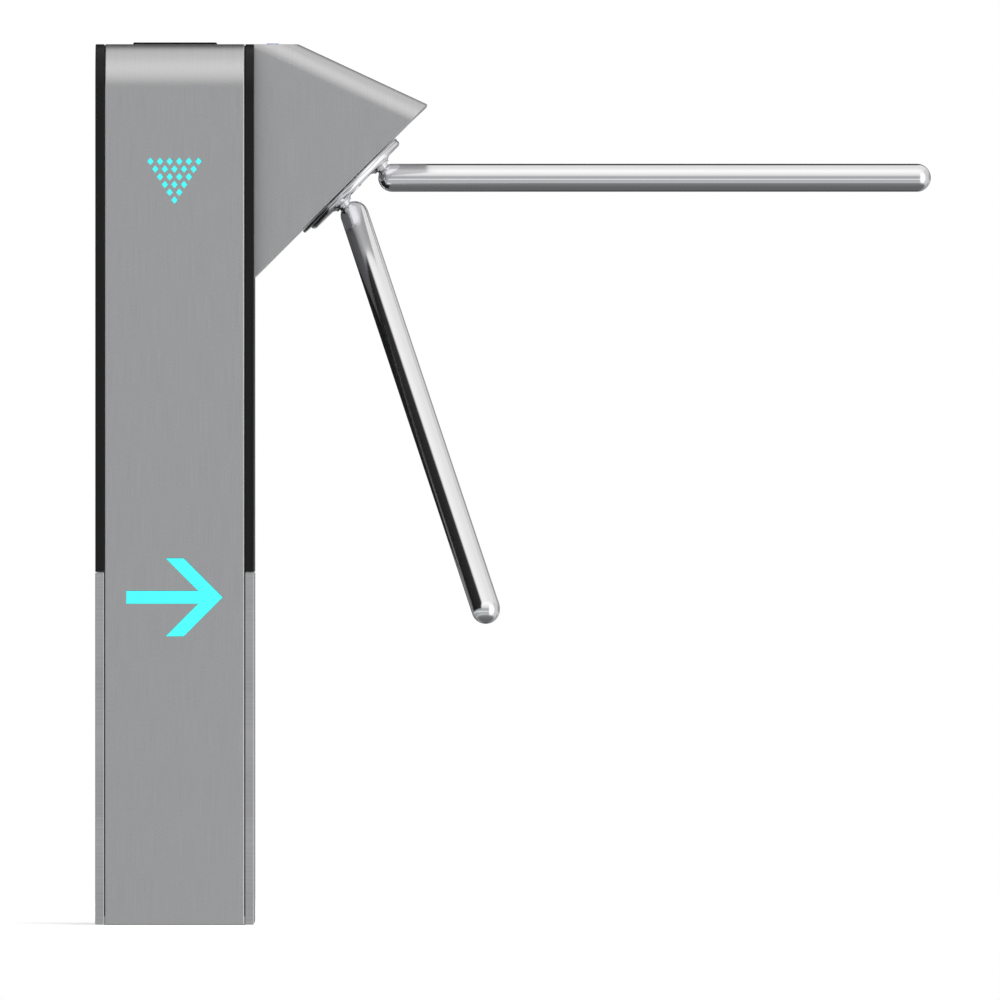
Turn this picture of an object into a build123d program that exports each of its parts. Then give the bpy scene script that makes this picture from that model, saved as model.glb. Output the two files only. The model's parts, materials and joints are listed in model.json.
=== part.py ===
from build123d import *
from math import atan, cos, pi, radians, sin, sqrt, tan
import os

# Tripod turnstile that counts visitors: a slim post, a slanted head and a rotor with three arms.
# Origin at the centre of the post's foot on the floor, +Z up. Visitors read the front (-Y),
# the arms bar a lane on the +X side, and the service door is at the back (+Y).

os.makedirs("parts", exist_ok=True)

# ---- driving dimensions: post -------------------------------------------------------------
post_width = 180.0  # across both side panels
post_depth = 300.0
post_height = 1000.0
skin = 2.0  # stainless sheet of the casing and the door
top_bend = 50.0  # outside radius where the casing folds over the top
side_panel = 10.0  # thickness of each side panel
panel_gap = 1.0  # shadow gap between the casing's edges and the side panels
panel_split = 400.0  # height where an upper panel stands on a lower one
panel_joint = 0.6  # gap between upper and lower panel
panel_bevel = 0.8
floor_gap = 1.0  # skins hang this far off the floor
base_thick = 10.0
frame_sheet = 2.5
frame_flange = 18.0
frame_window_foot = 60.0  # window in a frame side, above the base plate
frame_window_side = 60.0  # and in from the front and the back
frame_window_round = 12.0
anchor_pitch_x = 110.0
anchor_pitch_y = 220.0
anchor_hole_r = 7.0
cable_hole_r = 30.0
grommet_bore_r = 20.0
grommet_lip = 5.0
shelf_heights = (600.0, 940.0)
shelf_width = 200.0
shelf_lip = 15.0

# ---- driving dimensions: lights and reader --------------------------------------------------
diamond_rows = 6
diamond_pitch = 10.9
diamond_row_pitch = 8.77
diamond_half_width = 3.6
diamond_half_height = 4.3
diamond_top_drop = 133.2  # from the post's top to the top row
arrow_span = 110.0
arrow_rise = 89.0
arrow_stroke = 15.0
arrow_height = 372.0
diffuser_lip = 4.0  # how far a diffuser's plate reaches past its windows
diffuser_plate = 2.0
diffuser_rim = 4.0
light_fit = 0.1
board_thick = 1.6
led_size = 3.0
led_columns = 6
led_rows = 5
reader_width = 95.0
reader_length = 150.0
reader_thick = 2.3
reader_corner = 4.0
reader_skirt = 6.0  # how far the pad reaches down through its window
reader_inset = 8.0  # how far the window under the reader is smaller than it

# ---- driving dimensions: service door -------------------------------------------------------
door_half_width = 58.0
door_low = 90.0
door_high = 570.0
door_gap = 1.0
door_rib_inset = 8.0
door_rib_depth = 6.0
hinge_x = -66.0
hinge_knuckle_r = 4.0
hinge_stand = 4.5  # hinge axis off the casing's back
hinge_leaf = 2.0
hinge_leaf_reach = 12.0
hinge_length = 40.0
hinge_inset = 70.0  # hinge centres from the door's ends
hinge_pin_r = 1.5
hinge_slack = 0.4
running_fit = 0.05  # radial clearance of a turning shaft
seat_fit = 0.02  # radial clearance of a fixed round seat
lock_x = 44.0
lock_barrel_r = 9.0
lock_flange_r = 11.5
lock_plug_r = 6.0
lock_cam_clear = 3.5  # between the cam's tip and the frame's side when locked
lock_cam_width = 12.0
lock_cam_thick = 2.5
lock_cam_gap = 0.5  # between the cam and the door's rib
lock_slot = (1.6, 7.0)
lock_slot_deep = 4.0

# ---- driving dimensions: head ----------------------------------------------------------------
head_depth = 220.0
head_drop = 264.5  # from the post's top down to the foot of the slanted face
face_length = 277.7
roof_slope = 25.0
roof_round = 27.0
head_wall = 2.5
face_plate = 3.0
face_bore_r = 34.0
back_plate = 6.0
back_plate_foot = 12.5  # back plate's lower edge above the foot of the face
back_plate_top = 15.0  # and its top below the post's top
cable_window_y = 120.0
cable_window_z = 80.0
cable_window_round = 8.0
head_bolt_r = 4.0
head_bolt_hex_r = 6.4
head_bolt_pitch_y = 170.0
head_bolt_pitch_z = 95.0
lens_r = 7.0
lens_stem_r = 5.0
lens_proud = 1.1
lens_round = 0.7
lens_stem = 5.0
lens_x = 21.0  # lens centre from the panel's face
lens_forward = 65.0  # and in front of the head's middle

# ---- driving dimensions: rotor -----------------------------------------------------------------
hub_from_foot = 150.7  # along the face, from its foot to the rotor's axis
apex_depth = 9.8  # the arms' axes meet this far behind the face
arm_angle = 45.0
arm_count = 3
arm_r = 16.0
arm_wall = 2.0
arm_root = 57.0  # root sphere's centre from the apex
arm_tip = 653.9  # tip sphere's centre from the apex
arm_spigot = 20.0
hub_gap = 1.2  # running gap between the face and the hub
hub_disc_r = 74.6
hub_disc_thick = 3.8
hub_disc_round = 1.0
flange_lobe_r = 54.5
flange_lobe_at = 20.0
flange_thick = 5.0
flange_bevel = 3.5
cap_r = 11.0
cap_thick = 1.2
seat_base_r = 14.8
seat_top_r = 10.8
seat_rise = 2.5
seat_land = 1.5
neck_r = 7.4
neck_rise = 2.1
stud_r = 5.0
stud_clear = 1.0  # round a stud's end in the shaft's flange
shaft_r = 15.0
shaft_flange_r = 30.0
shaft_flange_thick = 7.2
shaft_shoulder_r = 18.0
shaft_length = 100.0  # behind the face
shaft_chamfer = 1.0

# ---- driving dimensions: mechanism, depths are behind the slanted face --------------------------
mech_plate = 8.0
mech_low = -100.0
mech_high = 88.0
gusset = 3.0
gusset_high = 60.0
gusset_gap = 3.0  # between a gusset and the shell
bearing_r = 31.0
bearing_width = 16.0
bearing_front_depth = 8.0
bearing_rear_depth = 44.0
bearing_inner_r = 19.2
bearing_outer_in_r = 26.8
ball_circle_r = 23.0
ball_r = 4.75
ball_count = 9
ball_slack = 0.05
cage_half = 2.0
cage_sheet = 1.2
cage_gap = 0.35  # between the balls and the cage's two rings
cage_rivet_r = 1.2
housing_r = 38.0
housing_shoulder_r = 27.0
housing_flange = 80.0
housing_flange_thick = 8.0
housing_corner = 10.0
bore_over = 1.0  # how far a bore's cutter runs past the metal
housing_screw_at = 33.0
screw_r = 3.0
screw_head_r = 5.0
screw_head = 6.0
screw_short = 1.0  # how far a screw ends below the far face
gear_module = 2.0
gear_teeth = 48
pinion_teeth = 15
tooth_addendum = 0.8  # in modules
tooth_dedendum = 1.25
tooth_backlash = 0.35
tooth_sink = 0.5  # how far a tooth reaches into the gear's body
pressure_angle = 20.0
flank_points = 5
gear_depth = 62.0
gear_thick = 6.0
gear_hub_r = 22.0
gear_holes = 6
wheel_r = 58.0
wheel_thick = 8.0
wheel_depth = 71.0
wheel_notches = 12
notch_width = 13.0
notch_deep = 8.0
disc_r = 44.0
disc_thick = 1.2
disc_depth = 88.0
disc_slots = 24
disc_slot_at = 38.0
disc_slot_long = 7.0
disc_slot_share = 0.8  # of the pitch
nut_r = 20.0
nut_thick = 7.8
damper_r = 20.0
damper_end = 58.0
damper_flange = 3.0
damper_ear = 28.0
damper_ear_r = 9.0
damper_ear_end = 6.0
damper_chamfer = 1.5
damper_bore_extra = 2.0
pinion_shaft_r = 5.0
pawl_pivot_x = -44.0
pawl_pivot_y = 70.0
pawl_thick = 6.0
pawl_eye_r = 9.0
pawl_arm = 10.0
pawl_nose_x = 45.3
pawl_nose_width = 9.0
pawl_nose_drop = 9.5
pawl_lever = 18.0
pawl_pin_r = 2.5
pawl_pin_slack = 0.3
pawl_post_r = 7.0
pawl_journal_r = 4.0
pawl_end_gap = 0.3
pawl_post_cap = 2.0
pawl_post_tail = 3.0
spring_r = 9.5
spring_wire_r = 0.6
spring_pitch = 2.0
spring_turns = 5
spring_lift = 1.0
solenoid_low = 2.0
solenoid_length = 48.0
solenoid_size = 24.0
plunger_r = 4.0
plunger_slack = 0.3
plunger_depth = 67.5
plunger_reach = 30.0
tongue_thick = 4.0
tongue_width = 12.0
tongue_length = 16.0
tongue_shift = 1.0
tongue_round = 2.0
tongue_slot = 9.0
rod_sink = 1.0  # how far the rod starts inside the tongue
solenoid_round = 2.0
solenoid_plug_gap = 4.0
solenoid_plug_r = 5.0
bracket_sheet = 2.5
bracket_width = 18.0
bracket_length = 40.0
bracket_round = 3.0
sensor_angle = 45.0
sensor_in = 37.0
sensor_throat = 50.0
sensor_out = 55.0
sensor_width = 14.0
sensor_tine = 4.0
sensor_slot = 6.0
sensor_post = 4.0
sensor_wheel_gap = 3.0

# ---- driving dimensions: electronics -------------------------------------------------------------
tray_low = 110.0
tray_high = 540.0
tray_sheet = 2.0
tray_lip = 20.0
supply_size = (110.0, 50.0, 160.0)
supply_z = 210.0
supply_round = 2.0
vent_count = 8
vent_pitch = 10.0
vent_length = 80.0
vent_width = 4.0
vent_deep = 1.5
board_size = (120.0, 180.0)
board_z = 420.0
board_stand = 6.0
board_corner = 4.0
board_post_r = 3.0
board_post_inset = 7.0
chip_size = (28.0, 28.0)
chip_rise = 10.0
terminal_size = (90.0, 10.0)
terminal_drop = 76.0
relay_size = (18.0, 15.0)
relay_place = (30.0, 66.0)
component_high = 9.0

# ---- derived places ------------------------------------------------------------------------------
panel_in = post_width / 2 - side_panel
panel_out = post_width / 2
casing_half = panel_in - panel_gap
half_depth = post_depth / 2
inner_half = panel_in - frame_sheet
lock_cam_reach = inner_half - lock_cam_clear - lock_x - lock_cam_width / 2

face_foot = (panel_out, post_height - head_drop)
head_tip = (
    face_foot[0] + face_length * cos(radians(45)),
    face_foot[1] + face_length * sin(radians(45)),
)
hub_x = face_foot[0] + hub_from_foot * cos(radians(45))
hub_z = face_foot[1] + hub_from_foot * sin(radians(45))

# hub_plane: x runs up the slanted face, y towards the front, z out of the face along the rotor's axis
hub_plane = Plane(origin=(hub_x, 0, hub_z), x_dir=(1, 0, 1), z_dir=(1, 0, -1))
# hub_section: x is the distance from the rotor's axis, y the height off the face
hub_section = Plane(origin=(hub_x, 0, hub_z), x_dir=(1, 0, 1), z_dir=(0, 1, 0))
hub_axis = Axis((hub_x, 0, hub_z), (1, 0, -1))

mech_back = face_plate + mech_plate
disc_top = hub_gap + hub_disc_thick
flange_top = disc_top + flange_thick
neck_top = flange_top + seat_rise + seat_land + neck_rise
seat_radius = arm_root * sin(radians(arm_angle))
gear_r = gear_module * gear_teeth / 2
pinion_r = gear_module * pinion_teeth / 2
damper_x = gear_r + pinion_r
solenoid_y = pawl_pivot_y + pawl_lever
pawl_depth = wheel_depth + (wheel_thick - pawl_thick) / 2


def swung(plane, about_z, about_y=0):
    """A plane turned about its own z axis, then about its own y axis."""
    turn_z = Location((0, 0, 0), (0, 0, about_z))
    turn_y = Location((0, 0, 0), (0, about_y, 0))
    return Plane(plane.location * turn_z * turn_y)


def save(piece, name):
    """Label a finished piece and write it."""
    piece.part.label = name
    export_step(piece.part, f"parts/{name}.step")


# ---- post ----------------------------------------------------------------------------------------
def post_face(inset, foot):
    """The post's side outline, inset from its outer skin, standing at the height foot."""
    rise = post_height - inset - foot
    with BuildSketch() as outline:
        with Locations((0, foot + rise / 2)):
            Rectangle(post_depth - 2 * inset, rise)
        fillet(outline.vertices().group_by(Axis.Y)[-1], top_bend - inset)
    return outline.sketch


def status_face(grow):
    """Triangle of diamonds, each grown by a clearance."""
    places = []
    for row in range(diamond_rows):
        count = diamond_rows - row
        height = post_height - diamond_top_drop - row * diamond_row_pitch
        places += [((i - (count - 1) / 2) * diamond_pitch, height) for i in range(count)]
    wide = diamond_half_width + grow
    high = diamond_half_height + grow
    with BuildSketch() as pattern:
        with Locations(*places):
            Polygon((wide, 0), (0, high), (-wide, 0), (0, -high), align=None)
    return pattern.sketch


def arrow_face(grow):
    """Way-in arrow that points at the lane."""
    half, rise, stroke = arrow_span / 2, arrow_rise / 2, arrow_stroke / 2
    back = 2 * stroke * sqrt(2)
    upper = [
        (half, 0),
        (half - rise, rise),
        (half - rise - back, rise),
        (half - back - stroke, stroke),
        (-half, stroke),
    ]
    lower = [(x, -y) for x, y in reversed(upper[1:])]
    with BuildSketch() as arrow:
        with BuildLine():
            Polyline(*upper, *lower, close=True)
        make_face()
        if grow:
            offset(amount=grow, kind=Kind.INTERSECTION)
    return Pos(0, arrow_height) * arrow.sketch


front_plane = Plane.XZ.offset(half_depth)
back_plane = Plane.XZ.offset(-half_depth)

with BuildPart() as casing_wrap:
    with BuildSketch(Plane.YZ.offset(-casing_half)):
        add(post_face(0, floor_gap))
        add(post_face(skin, 0), mode=Mode.SUBTRACT)
    extrude(amount=2 * casing_half)
    with BuildSketch(front_plane):
        add(status_face(0))
        add(arrow_face(0))
    extrude(amount=-skin, mode=Mode.SUBTRACT)
    with BuildSketch(back_plane):
        with Locations((0, (door_low + door_high) / 2)):
            Rectangle(2 * door_half_width, door_high - door_low)
    extrude(amount=skin, mode=Mode.SUBTRACT)
    with BuildSketch(Plane.XY.offset(post_height)):
        Rectangle(reader_width - 2 * reader_inset, reader_length - 2 * reader_inset)
    extrude(amount=-skin, mode=Mode.SUBTRACT)
save(casing_wrap, "casing_wrap")

head_bolt_z = (face_foot[1] + back_plate_foot + post_height - back_plate_top) / 2
head_bolt_places = [
    (side * head_bolt_pitch_y / 2, head_bolt_z + row * head_bolt_pitch_z)
    for side in (-1, 1)
    for row in (-1, 0, 1)
]


def cut_head_openings(plane, through):
    """Cable window and bolt holes where the head is bolted on."""
    with BuildSketch(plane) as openings:
        with Locations((0, head_bolt_z)):
            RectangleRounded(cable_window_y, cable_window_z, cable_window_round)
        with Locations(*head_bolt_places):
            Circle(head_bolt_r + seat_fit)
    extrude(openings.sketch, amount=through, mode=Mode.SUBTRACT)


for side, sign in (("left", -1), ("right", 1)):
    outer_plane = Plane.YZ.offset(sign * panel_in)
    with BuildPart() as panel:
        with BuildSketch(outer_plane):
            add(post_face(0, panel_split + panel_joint))
        extrude(amount=sign * side_panel)
        chamfer(panel.faces().sort_by(Axis.X)[-1 if sign > 0 else 0].edges(), panel_bevel)
        if sign > 0:
            cut_head_openings(outer_plane, side_panel)
    save(panel, f"upper_panel_{side}")

    with BuildPart() as panel:
        with BuildSketch(outer_plane):
            with Locations((0, (floor_gap + panel_split) / 2)):
                Rectangle(post_depth, panel_split - floor_gap)
        extrude(amount=sign * side_panel)
        chamfer(panel.faces().sort_by(Axis.X)[-1 if sign > 0 else 0].edges(), panel_bevel)
    save(panel, f"lower_panel_{side}")

    window_low = base_thick + frame_window_foot
    with BuildPart() as frame_side:
        with BuildSketch(outer_plane):
            add(post_face(skin, base_thick))
        extrude(amount=-sign * frame_sheet)
        with BuildSketch(outer_plane):
            add(post_face(skin, base_thick))
            add(post_face(skin + frame_sheet, base_thick + frame_sheet), mode=Mode.SUBTRACT)
        extrude(amount=-sign * frame_flange)
        with BuildSketch(outer_plane):
            with Locations((0, (window_low + tray_low) / 2)):
                RectangleRounded(
                    post_depth - 2 * frame_window_side, tray_low - window_low, frame_window_round
                )
        extrude(amount=-sign * frame_sheet, mode=Mode.SUBTRACT)
        if sign > 0:
            cut_head_openings(outer_plane, -frame_sheet)
    save(frame_side, f"frame_side_{side}")

with BuildPart() as base_plate:
    with BuildSketch():
        Rectangle(2 * panel_in, post_depth - 2 * skin)
        Circle(cable_hole_r, mode=Mode.SUBTRACT)
        with GridLocations(anchor_pitch_x, anchor_pitch_y, 2, 2):
            Circle(anchor_hole_r, mode=Mode.SUBTRACT)
    extrude(amount=base_thick)
save(base_plate, "base_plate")

with BuildPart() as cable_grommet:
    with BuildSketch():
        Circle(cable_hole_r - seat_fit)
        Circle(grommet_bore_r, mode=Mode.SUBTRACT)
    extrude(amount=base_thick)
    with BuildSketch(Plane.XY.offset(base_thick)):
        Circle(cable_hole_r + grommet_lip)
        Circle(grommet_bore_r, mode=Mode.SUBTRACT)
    extrude(amount=grommet_lip)
save(cable_grommet, "cable_grommet")

with BuildPart() as cross_shelves:
    for height in shelf_heights:
        with BuildSketch(Plane.XZ.offset(-shelf_width / 2)):
            with Locations((0, height)):
                Rectangle(2 * inner_half, shelf_lip)
            with Locations((0, height - frame_sheet / 2)):
                Rectangle(2 * (inner_half - frame_sheet), shelf_lip - frame_sheet, mode=Mode.SUBTRACT)
        extrude(amount=shelf_width)
save(cross_shelves, "cross_shelves")

# ---- lights and reader ---------------------------------------------------------------------------
status_box_z = post_height - diamond_top_drop - (diamond_rows - 1) * diamond_row_pitch / 2
light_boxes = {
    "status": (
        status_face(-light_fit),
        status_box_z,
        (diamond_rows - 1) * diamond_pitch + 2 * (diamond_half_width + diffuser_lip),
        (diamond_rows - 1) * diamond_row_pitch + 2 * (diamond_half_height + diffuser_lip),
    ),
    "arrow": (
        arrow_face(-light_fit),
        arrow_height,
        arrow_span + 2 * diffuser_lip,
        arrow_rise + 2 * diffuser_lip,
    ),
}
wall_back = Plane.XZ.offset(half_depth - skin)
board_plane = Plane.XZ.offset(half_depth - skin - diffuser_plate - diffuser_rim)

for name, (windows, middle, width, height) in light_boxes.items():
    with BuildPart() as diffuser:
        with BuildSketch(wall_back):
            with Locations((0, middle)):
                Rectangle(width, height)
        extrude(amount=-diffuser_plate - diffuser_rim)
        with BuildSketch(Plane.XZ.offset(half_depth - skin - diffuser_plate)):
            with Locations((0, middle)):
                Rectangle(width - 2 * diffuser_plate, height - 2 * diffuser_plate)
        extrude(amount=-diffuser_rim, mode=Mode.SUBTRACT)
        with BuildSketch(wall_back):
            add(windows)
        extrude(amount=skin)
    save(diffuser, f"{name}_diffuser")

with BuildPart() as led_boards:
    for name, (windows, middle, width, height) in light_boxes.items():
        with BuildSketch(board_plane):
            with Locations((0, middle)):
                Rectangle(width, height)
        extrude(amount=-board_thick)
        with BuildSketch(board_plane):
            with Locations((0, middle)):
                with GridLocations(
                    width / (led_columns + 1), height / (led_rows + 1), led_columns, led_rows
                ):
                    Rectangle(led_size, led_size)
        extrude(amount=led_size / 2)
save(led_boards, "led_boards")

with BuildPart() as reader_pad:
    with BuildSketch(Plane.XY.offset(post_height)):
        RectangleRounded(reader_width, reader_length, reader_corner)
    extrude(amount=reader_thick)
    chamfer(reader_pad.faces().sort_by(Axis.Z)[-1].edges(), reader_thick / 2)
    with BuildSketch(Plane.XY.offset(post_height)):
        Rectangle(
            reader_width - 2 * reader_inset - 2 * light_fit,
            reader_length - 2 * reader_inset - 2 * light_fit,
        )
    extrude(amount=-reader_skirt)
save(reader_pad, "reader_pad")

# ---- electronics ---------------------------------------------------------------------------------
with BuildPart() as electronics_tray:
    with BuildSketch(Plane.XY.offset(tray_low)):
        with Locations((0, -tray_lip / 2)):
            Rectangle(2 * inner_half, tray_lip)
        with Locations((0, -tray_lip / 2 - tray_sheet / 2)):
            Rectangle(2 * (inner_half - tray_sheet), tray_lip - tray_sheet, mode=Mode.SUBTRACT)
    extrude(amount=tray_high - tray_low)
save(electronics_tray, "electronics_tray")

with BuildPart() as power_supply:
    with BuildSketch(Plane.XZ):
        with Locations((0, supply_z)):
            Rectangle(supply_size[0], supply_size[2])
    extrude(amount=-supply_size[1])
    fillet(power_supply.edges().filter_by(Axis.Y), supply_round)
    with BuildSketch(Plane.XZ.offset(-supply_size[1])):
        with Locations((0, supply_z)):
            with GridLocations(vent_pitch, 0, vent_count, 1):
                SlotOverall(vent_length, vent_width, rotation=90)
    extrude(amount=vent_deep, mode=Mode.SUBTRACT)
save(power_supply, "power_supply")

with BuildPart() as controller_board:
    with BuildSketch(Plane.XZ.offset(-board_stand)):
        with Locations((0, board_z)):
            RectangleRounded(*board_size, board_corner)
    extrude(amount=-board_thick)
    with BuildSketch(Plane.XZ):
        with Locations((0, board_z)):
            with GridLocations(
                board_size[0] - 2 * board_post_inset, board_size[1] - 2 * board_post_inset, 2, 2
            ):
                Circle(board_post_r)
    extrude(amount=-board_stand)
    with BuildSketch(Plane.XZ.offset(-board_stand - board_thick)):
        with Locations((0, board_z + chip_rise)):
            Rectangle(*chip_size)
        with Locations((0, board_z - terminal_drop)):
            Rectangle(*terminal_size)
        with Locations(*[(side * relay_place[0], board_z + relay_place[1]) for side in (-1, 1)]):
            Rectangle(*relay_size)
    extrude(amount=-component_high)
save(controller_board, "controller_board")

# ---- service door --------------------------------------------------------------------------------
door_middle = (door_low + door_high) / 2
door_width = 2 * (door_half_width - door_gap)
door_tall = door_high - door_low - 2 * door_gap
hinge_y = half_depth + hinge_stand
hinge_centres = (door_low + hinge_inset, door_high - hinge_inset)
knuckle_third = hinge_length / 3
leaf_clear = hinge_knuckle_r + hinge_slack


def knuckle(middle, length, outward, bore):
    """One hinge knuckle, with the tongue that joins it to its leaf; outward is -1 or 1 along X."""
    low = middle - length / 2
    with BuildSketch(Plane.XY.offset(low)) as section:
        with Locations((hinge_x, hinge_y)):
            Circle(hinge_knuckle_r)
        with Locations((hinge_x + outward * leaf_clear / 2, half_depth + hinge_leaf / 2)):
            Rectangle(leaf_clear, hinge_leaf)
        with Locations((hinge_x, hinge_y)):
            Circle(bore, mode=Mode.SUBTRACT)
    extrude(section.sketch, amount=length)


def leaf(middle, outward):
    """One hinge leaf on the casing's or the door's outside."""
    along = hinge_x + outward * (leaf_clear + hinge_leaf_reach / 2)
    with BuildSketch(Plane.XY.offset(middle - hinge_length / 2)) as section:
        with Locations((along, half_depth + hinge_leaf / 2)):
            Rectangle(hinge_leaf_reach, hinge_leaf)
    extrude(section.sketch, amount=hinge_length)


with BuildPart() as hinge_fixed_leaves:
    for centre in hinge_centres:
        leaf(centre, -1)
        for end in (-1, 1):
            knuckle(centre + end * knuckle_third, knuckle_third, -1, hinge_pin_r + seat_fit)
save(hinge_fixed_leaves, "hinge_fixed_leaves")

with BuildPart() as hinge_pins:
    for centre in hinge_centres:
        with BuildSketch(Plane.XY.offset(centre - hinge_length / 2)):
            with Locations((hinge_x, hinge_y)):
                Circle(hinge_pin_r)
        extrude(amount=hinge_length)
        with BuildSketch(Plane.XY.offset(centre + hinge_length / 2)):
            with Locations((hinge_x, hinge_y)):
                Circle(hinge_knuckle_r - hinge_slack)
        extrude(amount=hinge_leaf)
save(hinge_pins, "hinge_pins")

with BuildPart() as service_door:
    with BuildSketch(back_plane):
        with Locations((0, door_middle)):
            Rectangle(door_width, door_tall)
    extrude(amount=skin)
    with BuildSketch(Plane.XZ.offset(-half_depth + skin)):
        with Locations((0, door_middle)):
            Rectangle(door_width - 2 * door_rib_inset, door_tall - 2 * door_rib_inset)
            Rectangle(
                door_width - 2 * (door_rib_inset + skin),
                door_tall - 2 * (door_rib_inset + skin),
                mode=Mode.SUBTRACT,
            )
    extrude(amount=door_rib_depth)
    for centre in hinge_centres:
        leaf(centre, 1)
        knuckle(centre, knuckle_third - 2 * hinge_slack, 1, hinge_pin_r + running_fit)
    with BuildSketch(Plane.XZ.offset(-half_depth)):
        with Locations((lock_x, door_middle)):
            Circle(lock_barrel_r + seat_fit)
    extrude(amount=skin + door_rib_depth, mode=Mode.SUBTRACT)
save(service_door, "service_door")

cam_face = half_depth - skin - door_rib_depth - lock_cam_gap  # the cam turns just inside the door's rib
with BuildPart() as lock_barrel:
    with BuildSketch(Plane.XZ.offset(-cam_face)):
        with Locations((lock_x, door_middle)):
            Circle(lock_barrel_r)
    extrude(amount=-(half_depth - cam_face))
    with BuildSketch(back_plane):
        with Locations((lock_x, door_middle)):
            Circle(lock_flange_r)
    extrude(amount=-skin)
    with BuildSketch(Plane.XZ.offset(-cam_face)):
        with Locations((lock_x, door_middle)):
            Circle(lock_plug_r + running_fit)
    extrude(amount=-post_depth, mode=Mode.SUBTRACT)
save(lock_barrel, "lock_barrel")

with BuildPart() as lock_cam:
    with BuildSketch(Plane.XZ.offset(-cam_face)):
        with Locations((lock_x, door_middle)):
            Circle(lock_plug_r)
            with Locations((0, lock_cam_reach / 2)):
                SlotOverall(lock_cam_reach + lock_cam_width, lock_cam_width, rotation=90)
    extrude(amount=lock_cam_thick)
    with BuildSketch(Plane.XZ.offset(-cam_face)):
        with Locations((lock_x, door_middle)):
            Circle(lock_plug_r)
    extrude(amount=-(half_depth - cam_face) - skin / 2)
    with BuildSketch(Plane.XZ.offset(-half_depth - skin / 2)):
        with Locations((lock_x, door_middle)):
            Rectangle(*lock_slot)
    extrude(amount=lock_slot_deep, mode=Mode.SUBTRACT)
save(lock_cam, "lock_cam")

# ---- head ----------------------------------------------------------------------------------------
slope = radians(roof_slope)


def roof_height(x, inset):
    """Height of the sloping roof above x, inset from its outside."""
    return head_tip[1] + (head_tip[0] - x) * tan(slope) - inset / cos(slope)


def head_block(inset):
    """The head as a solid block, its roof, top and two sides inset from the outside."""
    half = head_depth / 2 - inset
    tip_x = (roof_height(0, inset) - face_foot[1] + face_foot[0]) / (1 + tan(slope))
    tip = (tip_x, face_foot[1] + tip_x - face_foot[0])
    with BuildPart() as block:
        with BuildSketch(Plane.XZ):
            with BuildLine():
                Polyline(face_foot, tip, (face_foot[0], roof_height(face_foot[0], inset)), close=True)
            make_face()
        extrude(amount=half, both=True)
        roof = block.faces().filter_by(lambda f: f.normal_at().Z > 0.5).sort_by(Axis.Z)[-1]
        fillet(roof.edges().filter_by(lambda e: abs(abs(e.center().Y) - half) < 0.01), roof_round - inset)
        with BuildSketch(Plane.XY.offset(post_height - inset)):
            Rectangle(4 * head_tip[0], 2 * head_depth)
        extrude(amount=head_depth, mode=Mode.SUBTRACT)
    return block.part


lens_place = Plane(origin=(panel_out + lens_x, -lens_forward, post_height))

with BuildPart() as head_shell:
    add(head_block(0))
    add(head_block(head_wall), mode=Mode.SUBTRACT)
    with BuildSketch(lens_place):
        Circle(lens_stem_r + seat_fit)
    extrude(amount=-head_wall, mode=Mode.SUBTRACT)
save(head_shell, "head_shell")

with BuildPart() as head_lens:
    with BuildSketch(lens_place):
        Circle(lens_r)
    extrude(amount=lens_proud)
    fillet(head_lens.edges().sort_by(Axis.Z)[-1], lens_round)
    with BuildSketch(lens_place):
        Circle(lens_stem_r)
    extrude(amount=-lens_stem)
save(head_lens, "head_lens")

with BuildPart() as head_face_plate:
    add(head_block(head_wall))
    with BuildSketch(hub_plane.offset(-face_plate)):
        Rectangle(4 * face_length, 2 * head_depth)
    extrude(amount=-post_height, mode=Mode.SUBTRACT)
    with BuildSketch(hub_plane):
        Circle(face_bore_r)
    extrude(amount=-face_plate, mode=Mode.SUBTRACT)
save(head_face_plate, "head_face_plate")

back_low = face_foot[1] + back_plate_foot
back_high = post_height - back_plate_top
with BuildPart() as head_back_plate:
    with BuildSketch(Plane.YZ.offset(panel_out)):
        with Locations((0, (back_low + back_high) / 2)):
            Rectangle(head_depth - 2 * head_wall, back_high - back_low)
    extrude(amount=back_plate)
    cut_head_openings(Plane.YZ.offset(panel_out), back_plate)
save(head_back_plate, "head_back_plate")

with BuildPart() as head_bolts:
    with BuildSketch(Plane.YZ.offset(inner_half)):
        with Locations(*head_bolt_places):
            Circle(head_bolt_r)
    extrude(amount=panel_out + back_plate - inner_half)
    with BuildSketch(Plane.YZ.offset(panel_out + back_plate)):
        with Locations(*head_bolt_places):
            RegularPolygon(head_bolt_hex_r, 6)
    extrude(amount=head_bolt_r)
    with BuildSketch(Plane.YZ.offset(inner_half)):
        with Locations(*head_bolt_places):
            RegularPolygon(head_bolt_hex_r, 6)
    extrude(amount=-head_bolt_r)
save(head_bolts, "head_bolts")


def face_point(along, depth):
    """World x, z of a point on the section through the rotor's axis."""
    return (
        hub_x + (along - depth) * cos(radians(45)),
        hub_z + (along + depth) * sin(radians(45)),
    )


gusset_out = head_depth / 2 - head_wall - gusset_gap
with BuildPart() as mechanism_plate:
    with BuildSketch(hub_plane.offset(-face_plate)):
        with Locations(((mech_low + mech_high) / 2, 0)):
            Rectangle(mech_high - mech_low, 2 * gusset_out)
        Circle(housing_r + seat_fit, mode=Mode.SUBTRACT)
        with GridLocations(2 * housing_screw_at, 2 * housing_screw_at, 2, 2):
            Circle(screw_r + seat_fit, mode=Mode.SUBTRACT)
    extrude(amount=-mech_plate)
save(mechanism_plate, "mechanism_plate")

with BuildPart() as head_gussets:
    low = face_point(mech_low, mech_back)
    high = face_point(gusset_high, mech_back)
    back_x = panel_out + back_plate
    for side in (-1, 1):
        with BuildSketch(Plane.XZ.offset(side * gusset_out)):
            with BuildLine():
                Polyline((back_x, low[1]), low, high, (back_x, high[1]), close=True)
            make_face()
        extrude(amount=-side * gusset)
save(head_gussets, "head_gussets")


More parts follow.
